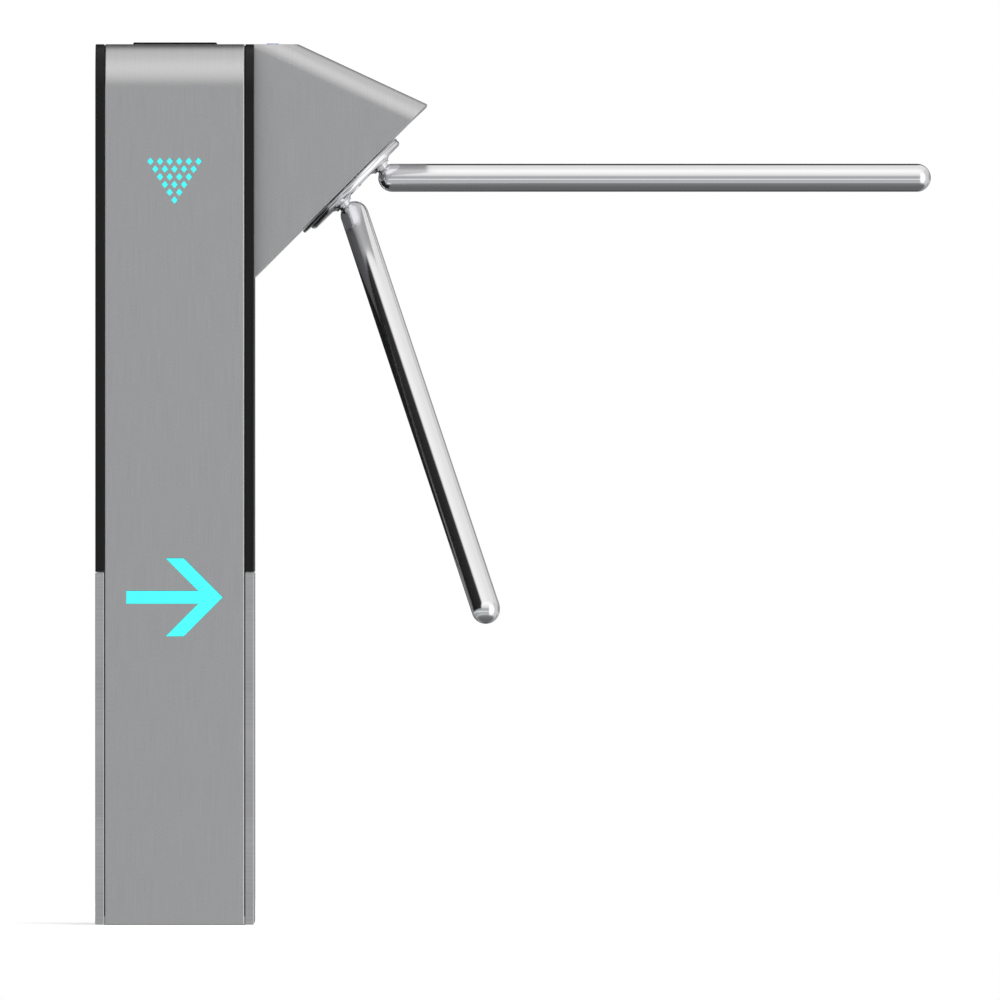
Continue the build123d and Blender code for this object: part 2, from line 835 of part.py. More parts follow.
# ---- turned pieces on the rotor's axis -----------------------------------------------------------
def turn(*profile):
    """Turn a profile of (radius, height off the face) points about the rotor's axis."""
    with BuildSketch(hub_section) as section:
        with BuildLine():
            Polyline(*profile, close=True)
        make_face()
    revolve(section.sketch, axis=hub_axis)


def tube(inner, outer, front, back):
    """A plain ring between two depths behind the face."""
    turn((inner, -front), (outer, -front), (outer, -back), (inner, -back))


bearing_fronts = (bearing_front_depth, bearing_rear_depth)
housing_end = bearing_rear_depth + bearing_width

with BuildPart() as bearing_housing:
    tube(housing_shoulder_r, housing_r, face_plate, housing_end)
    with BuildSketch(hub_plane.offset(-mech_back)):
        RectangleRounded(housing_flange, housing_flange, housing_corner)
        Circle(housing_shoulder_r, mode=Mode.SUBTRACT)
    extrude(amount=-housing_flange_thick)
    front_seat = (0, bearing_front_depth + bearing_width)
    rear_seat = (bearing_rear_depth, housing_end + bore_over)
    for front, back in (front_seat, rear_seat):
        with BuildSketch(hub_plane.offset(-front)):
            Circle(bearing_r + seat_fit)
        extrude(amount=front - back, mode=Mode.SUBTRACT)
    with BuildSketch(hub_plane.offset(-mech_back)):
        with GridLocations(2 * housing_screw_at, 2 * housing_screw_at, 2, 2):
            Circle(screw_r + seat_fit)
    extrude(amount=-housing_flange_thick, mode=Mode.SUBTRACT)
save(bearing_housing, "bearing_housing")

with BuildPart() as housing_screws:
    head_seat = hub_plane.offset(-mech_back - housing_flange_thick)
    with BuildSketch(head_seat):
        with GridLocations(2 * housing_screw_at, 2 * housing_screw_at, 2, 2):
            Circle(screw_head_r)
    extrude(amount=-screw_head)
    with BuildSketch(head_seat.offset(-screw_head)):
        with GridLocations(2 * housing_screw_at, 2 * housing_screw_at, 2, 2):
            RegularPolygon(screw_r, 6)
    extrude(amount=screw_head / 2, mode=Mode.SUBTRACT)
    with BuildSketch(head_seat):
        with GridLocations(2 * housing_screw_at, 2 * housing_screw_at, 2, 2):
            Circle(screw_r)
    extrude(amount=housing_flange_thick + mech_plate - screw_short)
save(housing_screws, "housing_screws")


def race_ring(inner, outer, front):
    """One bearing ring, with the groove that the balls run in."""
    middle = front + bearing_width / 2
    with BuildSketch(hub_section) as section:
        with Locations(((inner + outer) / 2, -middle)):
            Rectangle(outer - inner, bearing_width)
        with Locations((ball_circle_r, -middle)):
            Circle(ball_r + ball_slack, mode=Mode.SUBTRACT)
    revolve(section.sketch, axis=hub_axis)


with BuildPart() as bearing_outer_rings:
    for front in bearing_fronts:
        race_ring(bearing_outer_in_r, bearing_r, front)
save(bearing_outer_rings, "bearing_outer_rings")

with BuildPart() as bearing_inner_rings:
    for front in bearing_fronts:
        race_ring(shaft_r + seat_fit, bearing_inner_r, front)
save(bearing_inner_rings, "bearing_inner_rings")

with BuildPart() as bearing_balls:
    ring_in = ball_r + cage_gap
    ring_out = ring_in + cage_sheet
    for front in bearing_fronts:
        middle = front + bearing_width / 2
        ring_plane = hub_plane.offset(-middle)
        for side in (-1, 1):
            with BuildSketch(ring_plane.offset(side * ring_in)):
                Circle(ball_circle_r + cage_half)
                Circle(ball_circle_r - cage_half, mode=Mode.SUBTRACT)
            extrude(amount=side * cage_sheet)
        with BuildSketch(ring_plane.offset(-ring_out)):
            with PolarLocations(ball_circle_r, ball_count, start_angle=180 / ball_count):
                Circle(cage_rivet_r)
        extrude(amount=2 * ring_out)
        places = [ring_plane.location * place for place in PolarLocations(ball_circle_r, ball_count)]
        with Locations(*places):
            Sphere(ball_r)
save(bearing_balls, "bearing_balls")

with BuildPart() as main_shaft:
    turn(
        (0, hub_gap),
        (shaft_flange_r, hub_gap),
        (shaft_flange_r, hub_gap - shaft_flange_thick),
        (shaft_shoulder_r, hub_gap - shaft_flange_thick),
        (shaft_shoulder_r, -bearing_front_depth),
        (shaft_r, -bearing_front_depth),
        (shaft_r, shaft_chamfer - shaft_length),
        (shaft_r - shaft_chamfer, -shaft_length),
        (0, -shaft_length),
    )
    with BuildSketch(hub_plane.offset(hub_gap)):
        with PolarLocations(seat_radius, arm_count):
            Circle(stud_r + stud_clear)
    extrude(amount=-shaft_flange_thick, mode=Mode.SUBTRACT)
save(main_shaft, "main_shaft")

with BuildPart() as shaft_nut:
    front = disc_depth + disc_thick
    with BuildSketch(hub_plane.offset(-front)):
        RegularPolygon(nut_r, 6)
        Circle(shaft_r + seat_fit, mode=Mode.SUBTRACT)
    extrude(amount=-nut_thick)
save(shaft_nut, "shaft_nut")

with BuildPart() as lock_wheel:
    with BuildSketch(hub_plane.offset(-wheel_depth)):
        Circle(wheel_r)
        Circle(shaft_r + seat_fit, mode=Mode.SUBTRACT)
        with PolarLocations(wheel_r, wheel_notches):
            Rectangle(2 * notch_deep, notch_width, mode=Mode.SUBTRACT)
        with PolarLocations((wheel_r - notch_deep + shaft_r) / 2, wheel_notches // 2):
            Circle(notch_deep, mode=Mode.SUBTRACT)
    extrude(amount=-wheel_thick)
save(lock_wheel, "lock_wheel")

wheel_back = wheel_depth + wheel_thick
with BuildPart() as encoder_disc:
    tube(shaft_r + seat_fit, nut_r, wheel_back, disc_depth + disc_thick)
    with BuildSketch(hub_plane.offset(-disc_depth)):
        Circle(disc_r)
        Circle(shaft_r + seat_fit, mode=Mode.SUBTRACT)
        with PolarLocations(disc_slot_at, disc_slots):
            Rectangle(disc_slot_long, pi * disc_r / disc_slots * disc_slot_share, mode=Mode.SUBTRACT)
    extrude(amount=-disc_thick)
save(encoder_disc, "encoder_disc")


# ---- gears ---------------------------------------------------------------------------------------
def gear_face(teeth):
    """Involute spur gear with a tooth on +X."""
    pitch = gear_module * teeth / 2
    base = pitch * cos(radians(pressure_angle))
    tip = pitch + tooth_addendum * gear_module
    root = pitch - tooth_dedendum * gear_module
    involute = tan(radians(pressure_angle)) - radians(pressure_angle)
    half_tooth = pi / 2 / teeth - tooth_backlash / 4 / pitch + involute
    end_roll = sqrt((tip / base) ** 2 - 1)
    start_roll = sqrt(max((root / base) ** 2 - 1, 0))
    flank = []
    for step in range(flank_points):
        roll = start_roll + (end_roll - start_roll) * step / (flank_points - 1)
        radius = base * sqrt(1 + roll * roll)
        angle = half_tooth - (roll - atan(roll))
        flank.append((radius * cos(angle), radius * sin(angle)))
    foot_angle = half_tooth - (start_roll - atan(start_roll))
    sunk = root - tooth_sink
    foot = (sunk * cos(foot_angle), sunk * sin(foot_angle))
    mirrored = [(x, -y) for x, y in flank]
    with BuildSketch() as tooth:
        with BuildLine():
            Line(foot, flank[0])
            Spline(*flank)
            ThreePointArc(flank[-1], (tip, 0), mirrored[-1])
            Spline(*mirrored)
            Line(mirrored[0], (foot[0], -foot[1]))
            Line((foot[0], -foot[1]), foot)
        make_face()
    with BuildSketch() as gear:
        Circle(root)
        with PolarLocations(0, teeth):
            add(tooth.sketch)
    return gear.sketch


with BuildPart() as drive_gear:
    with BuildSketch(hub_plane.offset(-gear_depth)):
        add(gear_face(gear_teeth))
        Circle(gear_hub_r, mode=Mode.SUBTRACT)
        with PolarLocations((gear_r + gear_hub_r) / 2, gear_holes):
            Circle(gear_hub_r / 3, mode=Mode.SUBTRACT)
    extrude(amount=-gear_thick)
    tube(shaft_r + seat_fit, gear_hub_r, housing_end, wheel_depth)
save(drive_gear, "drive_gear")

damper_plane = Plane(
    origin=hub_plane.from_local_coords((damper_x, 0, 0)), x_dir=(1, 0, 1), z_dir=(1, 0, -1)
)
with BuildPart() as damper_pinion:
    with BuildSketch(damper_plane.offset(-gear_depth)):
        add(gear_face(pinion_teeth))
    extrude(amount=-gear_thick)
    with BuildSketch(damper_plane.offset(-gear_depth)):
        Circle(pinion_shaft_r)
    extrude(amount=gear_depth - damper_end / 2)
save(damper_pinion, "damper_pinion")

with BuildPart() as damper_body:
    with BuildSketch(damper_plane.offset(-mech_back)):
        SlotOverall(2 * (damper_ear + damper_ear_end), 2 * damper_ear_r, rotation=90)
        Circle(damper_r)
        with Locations((0, damper_ear), (0, -damper_ear)):
            Circle(screw_r, mode=Mode.SUBTRACT)
    extrude(amount=-damper_flange)
    with BuildSketch(damper_plane.offset(-mech_back)):
        Circle(damper_r)
    extrude(amount=mech_back - damper_end)
    inner_end = damper_body.faces().sort_by(Axis(hub_axis.position, -hub_axis.direction))[-1]
    chamfer(inner_end.edges(), damper_chamfer)
    with BuildSketch(damper_plane.offset(-damper_end)):
        Circle(pinion_shaft_r + running_fit)
    extrude(amount=damper_end / 2 + damper_bore_extra, mode=Mode.SUBTRACT)
save(damper_body, "damper_body")

# ---- locking pawls, one for each way through -----------------------------------------------------
pivot_reach = pawl_depth - pawl_end_gap
tongue_end = pawl_pivot_x + tongue_shift + tongue_length / 2 - rod_sink


def rod_plane(sign):
    """Plane across a plunger's rod, level with the rotor's axis; sign is 1 in front and -1 at the rear."""
    middle = hub_plane.from_local_coords((0, sign * solenoid_y, -plunger_depth))
    return Plane(origin=middle, x_dir=(0, 1, 0), z_dir=(1, 0, 1))


for side, sign in (("front", 1), ("rear", -1)):
    with BuildPart() as pawl:
        with BuildSketch(hub_plane.offset(-pawl_depth)):
            with Locations((pawl_pivot_x, sign * pawl_pivot_y)):
                Circle(pawl_eye_r)
                with Locations((pawl_nose_x / 2, 0)):
                    Rectangle(pawl_nose_x + pawl_nose_width, pawl_arm)
                with Locations((pawl_nose_x, -sign * pawl_nose_drop / 2)):
                    Rectangle(pawl_nose_width, pawl_nose_drop)
                with Locations((0, sign * pawl_lever / 2)):
                    Rectangle(pawl_arm, pawl_lever)
                with Locations((0, sign * pawl_lever)):
                    Circle(pawl_arm / 2)
                Circle(pawl_journal_r + running_fit, mode=Mode.SUBTRACT)
        extrude(amount=-pawl_thick)
        with BuildSketch(hub_plane.offset(-pawl_depth)):
            with Locations((pawl_pivot_x, sign * (pawl_pivot_y + pawl_lever))):
                Circle(pawl_pin_r)
        extrude(amount=pawl_depth - plunger_depth + tongue_thick)
    save(pawl, f"pawl_{side}")

    with BuildPart() as plunger:
        with BuildSketch(rod_plane(sign).offset(tongue_end)):
            Circle(plunger_r)
        extrude(amount=plunger_reach - tongue_end)
        with BuildSketch(hub_plane.offset(-plunger_depth + tongue_thick / 2)):
            with Locations((pawl_pivot_x + tongue_shift, sign * solenoid_y)):
                RectangleRounded(tongue_length, tongue_width, tongue_round)
            with Locations((pawl_pivot_x, sign * solenoid_y)):
                SlotOverall(
                    tongue_slot, 2 * (pawl_pin_r + pawl_pin_slack), rotation=90, mode=Mode.SUBTRACT
                )
        extrude(amount=-tongue_thick)
    save(plunger, f"plunger_{side}")

with BuildPart() as solenoids:
    for sign in (1, -1):
        with BuildSketch(rod_plane(sign).offset(solenoid_low)):
            RectangleRounded(solenoid_size, solenoid_size, solenoid_round)
            Circle(plunger_r + plunger_slack, mode=Mode.SUBTRACT)
        extrude(amount=solenoid_length)
        with BuildSketch(rod_plane(sign).offset(solenoid_low + solenoid_length)):
            Circle(solenoid_plug_r)
        extrude(amount=-(solenoid_length - plunger_reach - solenoid_plug_gap))
save(solenoids, "solenoids")

bracket_end = plunger_depth - solenoid_size / 2
with BuildPart() as solenoid_brackets:
    with BuildSketch(hub_plane.offset(-mech_back)):
        with Locations(
            (solenoid_low + solenoid_length / 2, solenoid_y),
            (solenoid_low + solenoid_length / 2, -solenoid_y),
        ):
            RectangleRounded(bracket_length, bracket_width, bracket_round)
            Rectangle(
                bracket_length - 2 * bracket_sheet, bracket_width - 2 * bracket_sheet, mode=Mode.SUBTRACT
            )
    extrude(amount=mech_back - bracket_end)
save(solenoid_brackets, "solenoid_brackets")

pivot_places = [(pawl_pivot_x, pawl_pivot_y), (pawl_pivot_x, -pawl_pivot_y)]
with BuildPart() as pawl_posts:
    post_back = pawl_depth + pawl_thick + pawl_end_gap
    for start, end, radius in (
        (mech_back, pivot_reach, pawl_post_r),
        (pivot_reach, post_back + pawl_post_tail, pawl_journal_r),
        (post_back, post_back + pawl_post_cap, pawl_post_r),
    ):
        with BuildSketch(hub_plane.offset(-start)):
            with Locations(*pivot_places):
                Circle(radius)
        extrude(amount=start - end)
save(pawl_posts, "pawl_posts")

with BuildPart() as pawl_springs:
    for x, y in pivot_places:
        foot = hub_plane.from_local_coords((x, y, -pivot_reach + spring_lift))
        with BuildLine():
            coil = Helix(
                spring_pitch, spring_pitch * spring_turns, spring_r, center=foot, direction=hub_plane.z_dir
            )
        with BuildSketch(Plane(origin=coil @ 0, z_dir=coil % 0)):
            Circle(spring_wire_r)
        sweep(path=coil, is_frenet=True)
save(pawl_springs, "pawl_springs")

# ---- counter: a forked light gate over the slotted disc ------------------------------------------
gate_plane = swung(hub_plane, sensor_angle)
gate_back = disc_depth + disc_thick / 2 + sensor_slot / 2 + sensor_tine
with BuildPart() as counter_sensor:
    with BuildSketch(gate_plane.offset(-gate_back)):
        with Locations(((sensor_in + sensor_out) / 2, 0)):
            Rectangle(sensor_out - sensor_in, sensor_width)
    extrude(amount=sensor_slot + 2 * sensor_tine)
    with BuildSketch(gate_plane.offset(-gate_back + sensor_tine)):
        with Locations(((sensor_in + sensor_throat) / 2, 0)):
            Rectangle(sensor_throat - sensor_in, sensor_width)
    extrude(amount=sensor_slot, mode=Mode.SUBTRACT)
save(counter_sensor, "counter_sensor")

post_at = wheel_r + sensor_wheel_gap + sensor_post / 2
with BuildPart() as sensor_bracket:
    with BuildSketch(gate_plane.offset(-mech_back)):
        with Locations((post_at, 0)):
            Rectangle(sensor_post, sensor_width)
    extrude(amount=mech_back - gate_back - sensor_post)
    with BuildSketch(gate_plane.offset(-gate_back)):
        with Locations(((sensor_in + post_at) / 2, 0)):
            Rectangle(post_at - sensor_in, sensor_width)
    extrude(amount=-sensor_post)
save(sensor_bracket, "sensor_bracket")

# ---- hub and arms --------------------------------------------------------------------------------
with BuildPart() as hub_base_disc:
    with BuildSketch(hub_plane.offset(hub_gap)):
        Circle(hub_disc_r)
        with PolarLocations(seat_radius, arm_count):
            Circle(stud_r + seat_fit, mode=Mode.SUBTRACT)
    extrude(amount=hub_disc_thick)
    rim = hub_base_disc.edges().filter_by(GeomType.CIRCLE).sort_by(SortBy.RADIUS)[-2:]
    fillet(rim.sort_by(hub_axis)[-1], hub_disc_round)
save(hub_base_disc, "hub_base_disc")

with BuildPart() as hub_flange:
    with BuildSketch(hub_plane.offset(disc_top)):
        with PolarLocations(flange_lobe_at, arm_count):
            Circle(flange_lobe_r)
        make_hull()
    extrude(amount=flange_thick)
    chamfer(hub_flange.faces().sort_by(hub_axis)[-1].edges(), flange_bevel)
    with BuildSketch(hub_plane.offset(disc_top)):
        with PolarLocations(seat_radius, arm_count):
            Circle(stud_r + seat_fit)
    extrude(amount=flange_thick, mode=Mode.SUBTRACT)
save(hub_flange, "hub_flange")

with BuildPart() as hub_cap:
    turn(
        (0, flange_top),
        (cap_r, flange_top),
        (cap_r, flange_top + cap_thick / 2),
        (cap_r - cap_thick, flange_top + cap_thick),
        (0, flange_top + cap_thick),
    )
save(hub_cap, "hub_cap")

seat_profile = [
    (0, hub_gap),
    (stud_r, hub_gap),
    (stud_r, flange_top),
    (seat_base_r, flange_top),
    (seat_top_r, flange_top + seat_rise),
    (seat_top_r, flange_top + seat_rise + seat_land),
    (neck_r, flange_top + seat_rise + seat_land),
    (neck_r, neck_top),
    (stud_r, neck_top),
    (stud_r, neck_top + arm_r / 2),
    (0, neck_top + arm_r / 2),
]
with BuildPart() as arm_studs:
    for index in range(arm_count):
        turned_plane = swung(hub_plane, index * 360 / arm_count)
        foot = turned_plane.from_local_coords((seat_radius, 0, 0))
        with BuildSketch(Plane(origin=foot, x_dir=turned_plane.x_dir, z_dir=-turned_plane.y_dir)):
            with BuildLine():
                Polyline(*seat_profile, close=True)
            make_face()
        revolve(axis=Axis(foot, turned_plane.z_dir))
save(arm_studs, "arm_studs")


def arm_plane(index, distance):
    """Plane across an arm, this far from the point where the arms' axes meet."""
    apex = hub_plane.offset(-apex_depth)
    return swung(apex, index * 360 / arm_count, arm_angle).offset(distance)


for index in range(arm_count):
    with BuildPart() as arm_tube:
        with BuildSketch(arm_plane(index, arm_root)):
            Circle(arm_r)
            Circle(arm_r - arm_wall, mode=Mode.SUBTRACT)
        extrude(amount=arm_tip - arm_root)
    save(arm_tube, f"arm_tube_{index + 1}")


def arm_end(index, distance, inward):
    """Domed plug with a spigot inside the tube; inward is 1 at the root and -1 at the tip."""
    across = arm_plane(index, distance)
    lengthwise = Plane(origin=across.origin, x_dir=across.x_dir, z_dir=-across.y_dir)
    with BuildSketch(lengthwise) as section:
        with BuildLine():
            Line((0, -inward * arm_r), (0, inward * arm_spigot))
            Line((0, inward * arm_spigot), (-spigot_r, inward * arm_spigot))
            Line((-spigot_r, inward * arm_spigot), (-spigot_r, 0))
            Line((-spigot_r, 0), (-arm_r, 0))
            ThreePointArc(
                (-arm_r, 0), (-arm_r * sin(pi / 4), -inward * arm_r * sin(pi / 4)), (0, -inward * arm_r)
            )
        make_face()
    revolve(section.sketch, axis=Axis(across.origin, across.z_dir))


spigot_r = arm_r - arm_wall - seat_fit
with BuildPart() as arm_roots:
    for index in range(arm_count):
        arm_end(index, arm_root, 1)
    with BuildSketch(hub_plane.offset(neck_top)):
        Circle(hub_disc_r)
    extrude(amount=-arm_r, mode=Mode.SUBTRACT)
    with BuildSketch(hub_plane.offset(neck_top)):
        with PolarLocations(seat_radius, arm_count):
            Circle(stud_r + seat_fit)
    extrude(amount=arm_r / 2, mode=Mode.SUBTRACT)
save(arm_roots, "arm_roots")

with BuildPart() as arm_tips:
    for index in range(arm_count):
        arm_end(index, arm_tip, -1)
save(arm_tips, "arm_tips")
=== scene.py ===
import json
from math import cos, pi, radians, sin, sqrt, tan

import bmesh
import bpy
from bpy.props import FloatProperty, FloatVectorProperty, IntProperty, PointerProperty
from mathutils import Matrix, Vector


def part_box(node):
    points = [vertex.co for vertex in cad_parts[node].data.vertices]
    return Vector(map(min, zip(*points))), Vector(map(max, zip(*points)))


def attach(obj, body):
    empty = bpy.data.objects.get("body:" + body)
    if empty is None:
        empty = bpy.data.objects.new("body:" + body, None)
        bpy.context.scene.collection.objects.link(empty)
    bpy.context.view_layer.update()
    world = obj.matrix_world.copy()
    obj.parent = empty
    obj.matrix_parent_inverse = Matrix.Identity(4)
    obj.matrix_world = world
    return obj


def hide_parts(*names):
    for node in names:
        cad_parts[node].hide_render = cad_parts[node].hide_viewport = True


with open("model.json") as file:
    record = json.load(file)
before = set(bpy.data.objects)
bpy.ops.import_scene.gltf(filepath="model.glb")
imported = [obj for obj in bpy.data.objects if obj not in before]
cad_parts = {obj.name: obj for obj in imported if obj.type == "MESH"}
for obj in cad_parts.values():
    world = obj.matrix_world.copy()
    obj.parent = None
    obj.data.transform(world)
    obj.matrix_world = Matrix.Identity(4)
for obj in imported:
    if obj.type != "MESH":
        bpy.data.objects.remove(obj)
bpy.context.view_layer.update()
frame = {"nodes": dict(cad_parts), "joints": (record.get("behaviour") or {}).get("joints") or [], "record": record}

# Looks of a tripod turnstile that counts visitors. Every piece is in metres, in the frame's own axes:
# +Z up, front towards -Y, the three arms reach out along +X over the lane.

bl_info = {
    "name": "Visitor counter turnstile",
    "version": (1, 0, 0),
    "blender": (4, 5, 0),
    "location": "View3D > Sidebar > Turnstile",
    "description": "Builds the visible pieces, finishes and studio of a tripod turnstile",
    "category": "Object",
}

MM = 0.001
MERGE = 0.002 * MM  # corners closer than this are one corner
ON_AXIS = 0.001 * MM  # a point nearer to a turned piece's axis lies on it
TOUCH = 0.01 * MM  # a corner this close to a plane lies in it


# ---- places read from the frame ----
def box_of(node):
    """Lowest and highest corner of a CAD node."""
    low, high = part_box(node)
    return Vector(low), Vector(high)


def joint_of(name):
    """The record of one joint."""
    return next(j for j in frame["joints"] if j["name"] == name)


def hub_matrix():
    """Frame of the rotor: x up the slanted face, y towards the front, z out along the rotor's axis."""
    joint = joint_of("rotor_turn")
    axis = Vector(joint["axis"]).normalized()
    front = Vector((0, -1, 0))
    up_slope = front.cross(axis).normalized()
    turn = Matrix((up_slope, front, axis)).transposed().to_4x4()
    return Matrix.Translation(Vector(joint["pos_m"])) @ turn


def share_of_turn(index, settings):
    """Turn about the rotor's axis from the first arm to this one."""
    return Matrix.Rotation(index * 2 * pi / settings.arm_count, 4, "Z")


def arm_matrix(index, settings):
    """Frame of one arm: origin where the arms' axes meet, z out along the arm."""
    apex = Matrix.Translation((0, 0, -settings.apex_depth))
    return hub_matrix() @ apex @ share_of_turn(index, settings) @ Matrix.Rotation(settings.arm_angle, 4, "Y")


# ---- settings ----
def size_setting(name, description, size):
    """A length that can be changed, in metres."""
    return FloatProperty(name=name, description=description, default=size, unit="LENGTH")


def angle_setting(name, description, degrees):
    """An angle that can be changed."""
    return FloatProperty(name=name, description=description, default=radians(degrees), unit="ROTATION")


def count_setting(name, description, number, least):
    """A number of things that can be changed."""
    return IntProperty(name=name, description=description, default=number, min=least)


def linear(hex_code):
    """Linear red, green and blue of an sRGB hex colour."""
    parts = [int(hex_code[i : i + 2], 16) / 255 for i in (1, 3, 5)]
    return tuple(c / 12.92 if c <= 0.04045 else ((c + 0.055) / 1.055) ** 2.4 for c in parts)


def colour_setting(name, description, hex_code):
    """A colour picker whose default is an sRGB hex colour."""
    return FloatVectorProperty(
        name=name, description=description, default=linear(hex_code), size=3, subtype="COLOR", min=0, max=1
    )


class CasingSettings(bpy.types.PropertyGroup):
    """Sizes of the post's folded casing, side panels and reader"""

    skin: size_setting("Sheet", "Thickness of the stainless sheet", 2 * MM)
    bend: size_setting("Bend", "Outside radius of the folds at the top", 50 * MM)
    bend_steps: count_setting("Bend steps", "Flats that make one fold", 28, 4)
    edge: size_setting("Sheet edge", "Rounding of the sheet's cut edges", 0.25 * MM)
    panel_edge: size_setting("Panel edge", "Bevel round the side panels' outer faces", 0.8 * MM)
    shoulder: size_setting("Shoulder", "Width eased along the casing's long edges", 1.6 * MM)
    shoulder_drop: size_setting("Shoulder drop", "How far it falls at the edge", 0.6 * MM)
    shoulder_steps: count_setting("Shoulder steps", "Flats that make it", 6, 2)
    door_gap: size_setting("Door gap", "Gap round the service door", 1 * MM)
    window_width: size_setting("Window width", "Of the opening under the reader", 60 * MM)
    window_length: size_setting("Window length", "Of the opening under the reader", 100 * MM)
    pad_corner: size_setting("Pad corner", "Radius of the reader pad's corners", 4 * MM)
    pad_sunk: size_setting("Pad sunk", "How far the pad's foot lies below the top", 0.5 * MM)


class LightSettings(bpy.types.PropertyGroup):
    """Sizes of the lit status triangle and the lit arrow"""

    rows: count_setting("Rows", "Rows of diamonds, the first one the longest", 6, 1)
    pitch: size_setting("Pitch", "Between diamonds in a row", 10.9 * MM)
    row_pitch: size_setting("Row pitch", "Between rows", 8.77 * MM)
    half_width: size_setting("Half width", "Of one diamond", 3.8 * MM)
    half_height: size_setting("Half height", "Of one diamond", 4.5 * MM)
    stroke: size_setting("Stroke", "Width of the arrow's strokes", 15 * MM)
    fit: size_setting("Fit", "Gap round each lit insert", 0.2 * MM)
    lip: size_setting("Lip", "Diffuser plate past its windows", 4 * MM)


class HeadSettings(bpy.types.PropertyGroup):
    """Sizes of the slanted head"""

    wall: size_setting("Wall", "Thickness of the head's sheet", 2.5 * MM)
    roof_round: size_setting("Roof round", "Radius along the roof's edges", 27 * MM)
    roof_slope: angle_setting("Roof slope", "Fall of the roof", 25)
    round_steps: count_setting("Round steps", "Flats that make one rounded edge", 20, 4)
    edge: size_setting("Edge", "Rounding of the sheet's edges", 0.8 * MM)


class RotorSettings(bpy.types.PropertyGroup):
    """Sizes of the hub and the three arms"""

    gap: size_setting("Gap", "Between the face and the hub", 1.2 * MM)
    disc_r: size_setting("Disc radius", "Base disc", 74.6 * MM)
    disc_top: size_setting("Disc top", "Its top above the face", 5 * MM)
    disc_round: size_setting("Disc round", "Rounding of its upper edge", 1.5 * MM)
    lobe_r: size_setting("Lobe radius", "Flange corners", 54.5 * MM)
    lobe_at: size_setting("Lobe centre", "From the axis", 20 * MM)
    flange_top: size_setting("Flange top", "Its top above the face", 10 * MM)
    flange_bevel: size_setting("Flange bevel", "Sloping edge", 3.5 * MM)
    cap_r: size_setting("Cap radius", "Cap in the middle", 11 * MM)
    cap_thick: size_setting("Cap thickness", "Of the cap", 1.2 * MM)
    cap_round: size_setting("Cap round", "Rounding of its edge", 0.8 * MM)
    sunk: size_setting("Sunk", "How far cap and collars run into the flange", 0.5 * MM)
    arm_count: count_setting("Arms", "Number of arms", 3, 1)
    arm_angle: angle_setting("Arm angle", "Between arm and axis", 45)
    apex_depth: size_setting("Apex depth", "Arms meet this far in", 9.8 * MM)
    arm_r: size_setting("Arm radius", "Of the tube", 16 * MM)
    arm_root: size_setting("Arm root", "Root dome's centre", 57 * MM)
    arm_tip: size_setting("Arm tip", "Tip dome's centre", 653.9 * MM)
    arm_bands: count_setting("Arm bands", "Bands that make one tube", 24, 1)
    dome_steps: count_setting("Dome steps", "Bands that make one dome", 18, 4)
    seat_base_r: size_setting("Collar base", "Radius", 14.8 * MM)
    seat_top_r: size_setting("Collar top", "Radius", 10.8 * MM)
    neck_r: size_setting("Neck", "Radius", 7.4 * MM)
    seat_rise: size_setting("Collar rise", "Of the cone", 2.5 * MM)
    seat_land: size_setting("Collar land", "Straight part", 1.5 * MM)
    neck_rise: size_setting("Neck rise", "Up to the arm", 2.1 * MM)
    neck_sunk: size_setting("Neck sunk", "How far the neck runs into the arm", 0.6 * MM)
    steps: count_setting("Steps", "Flats round a turned piece", 96, 24)


class ServiceSettings(bpy.types.PropertyGroup):
    """Sizes of the hinges' screws"""

    leaf: size_setting("Leaf", "Thickness of a hinge leaf", 2 * MM)
    head_r: size_setting("Head radius", "Of one screw", 2.8 * MM)
    head_height: size_setting("Head height", "Of one screw", 1.6 * MM)
    head_lift: size_setting("Head lift", "Middle of the head above its leaf", 0.6 * MM)
    socket_r: size_setting("Socket radius", "Of the hexagon socket", 1.3 * MM)
    inset: size_setting("Inset", "Screws from a leaf's long edge", 6 * MM)
    from_end: size_setting("From end", "Middle of a pair of screws from the hinge's end", 20 * MM)
    half_pitch: size_setting("Half pitch", "Each screw from the middle of its pair", 12 * MM)


class FinishSettings(bpy.types.PropertyGroup):
    """Colours of the main finishes"""

    brushed: colour_setting("Brushed stainless", "304 sheet, ground with a belt", "#C1C1C2")
    polished: colour_setting("Polished stainless", "Mirror-polished tube and hub", "#E6E6E8")
    black: colour_setting("Black panel", "Black moulded side panels", "#101010")
    glow: colour_setting("Glow", "Lit diffusers", "#50FFFF")
    lens: colour_setting("Lens", "Tinted lens on the head", "#4F74BE")


class StageSettings(bpy.types.PropertyGroup):
    """Camera and studio"""

    lens: FloatProperty(name="Lens", description="Long lens in millimetres", default=1600)
    sensor: FloatProperty(name="Sensor", description="Width of the sensor in millimetres", default=36)
    frame_width: size_setting("Frame width", "Width seen", 1.1351)
    frame_plane: FloatProperty(
        name="Frame plane", description="Where it's seen, as a share of the way to the front", default=0.8
    )
    aim_x: size_setting("Aim X", "Middle of the view", 0.3692)
    aim_z: size_setting("Aim Z", "Middle of the view", 0.4824)
    floor_size: size_setting("Floor", "Side of the floor", 6)


# ---- mesh helpers ----
def in_scene(name, data):
    """A new object at the origin, linked into the scene."""
    piece = bpy.data.objects.new(name, data)
    bpy.context.scene.collection.objects.link(piece)
    return piece


def smooth_but_sharp(piece, sharp_past):
    """Shade smooth, but keep edges that turn more than this many degrees sharp."""
    piece.data.shade_smooth()
    piece.data.set_sharp_from_angle(angle=radians(sharp_past))


def clean(bm):
    """Merge doubles and turn the faces outwards."""
    bmesh.ops.remove_doubles(bm, verts=bm.verts, dist=MERGE)
    bmesh.ops.recalc_face_normals(bm, faces=bm.faces)


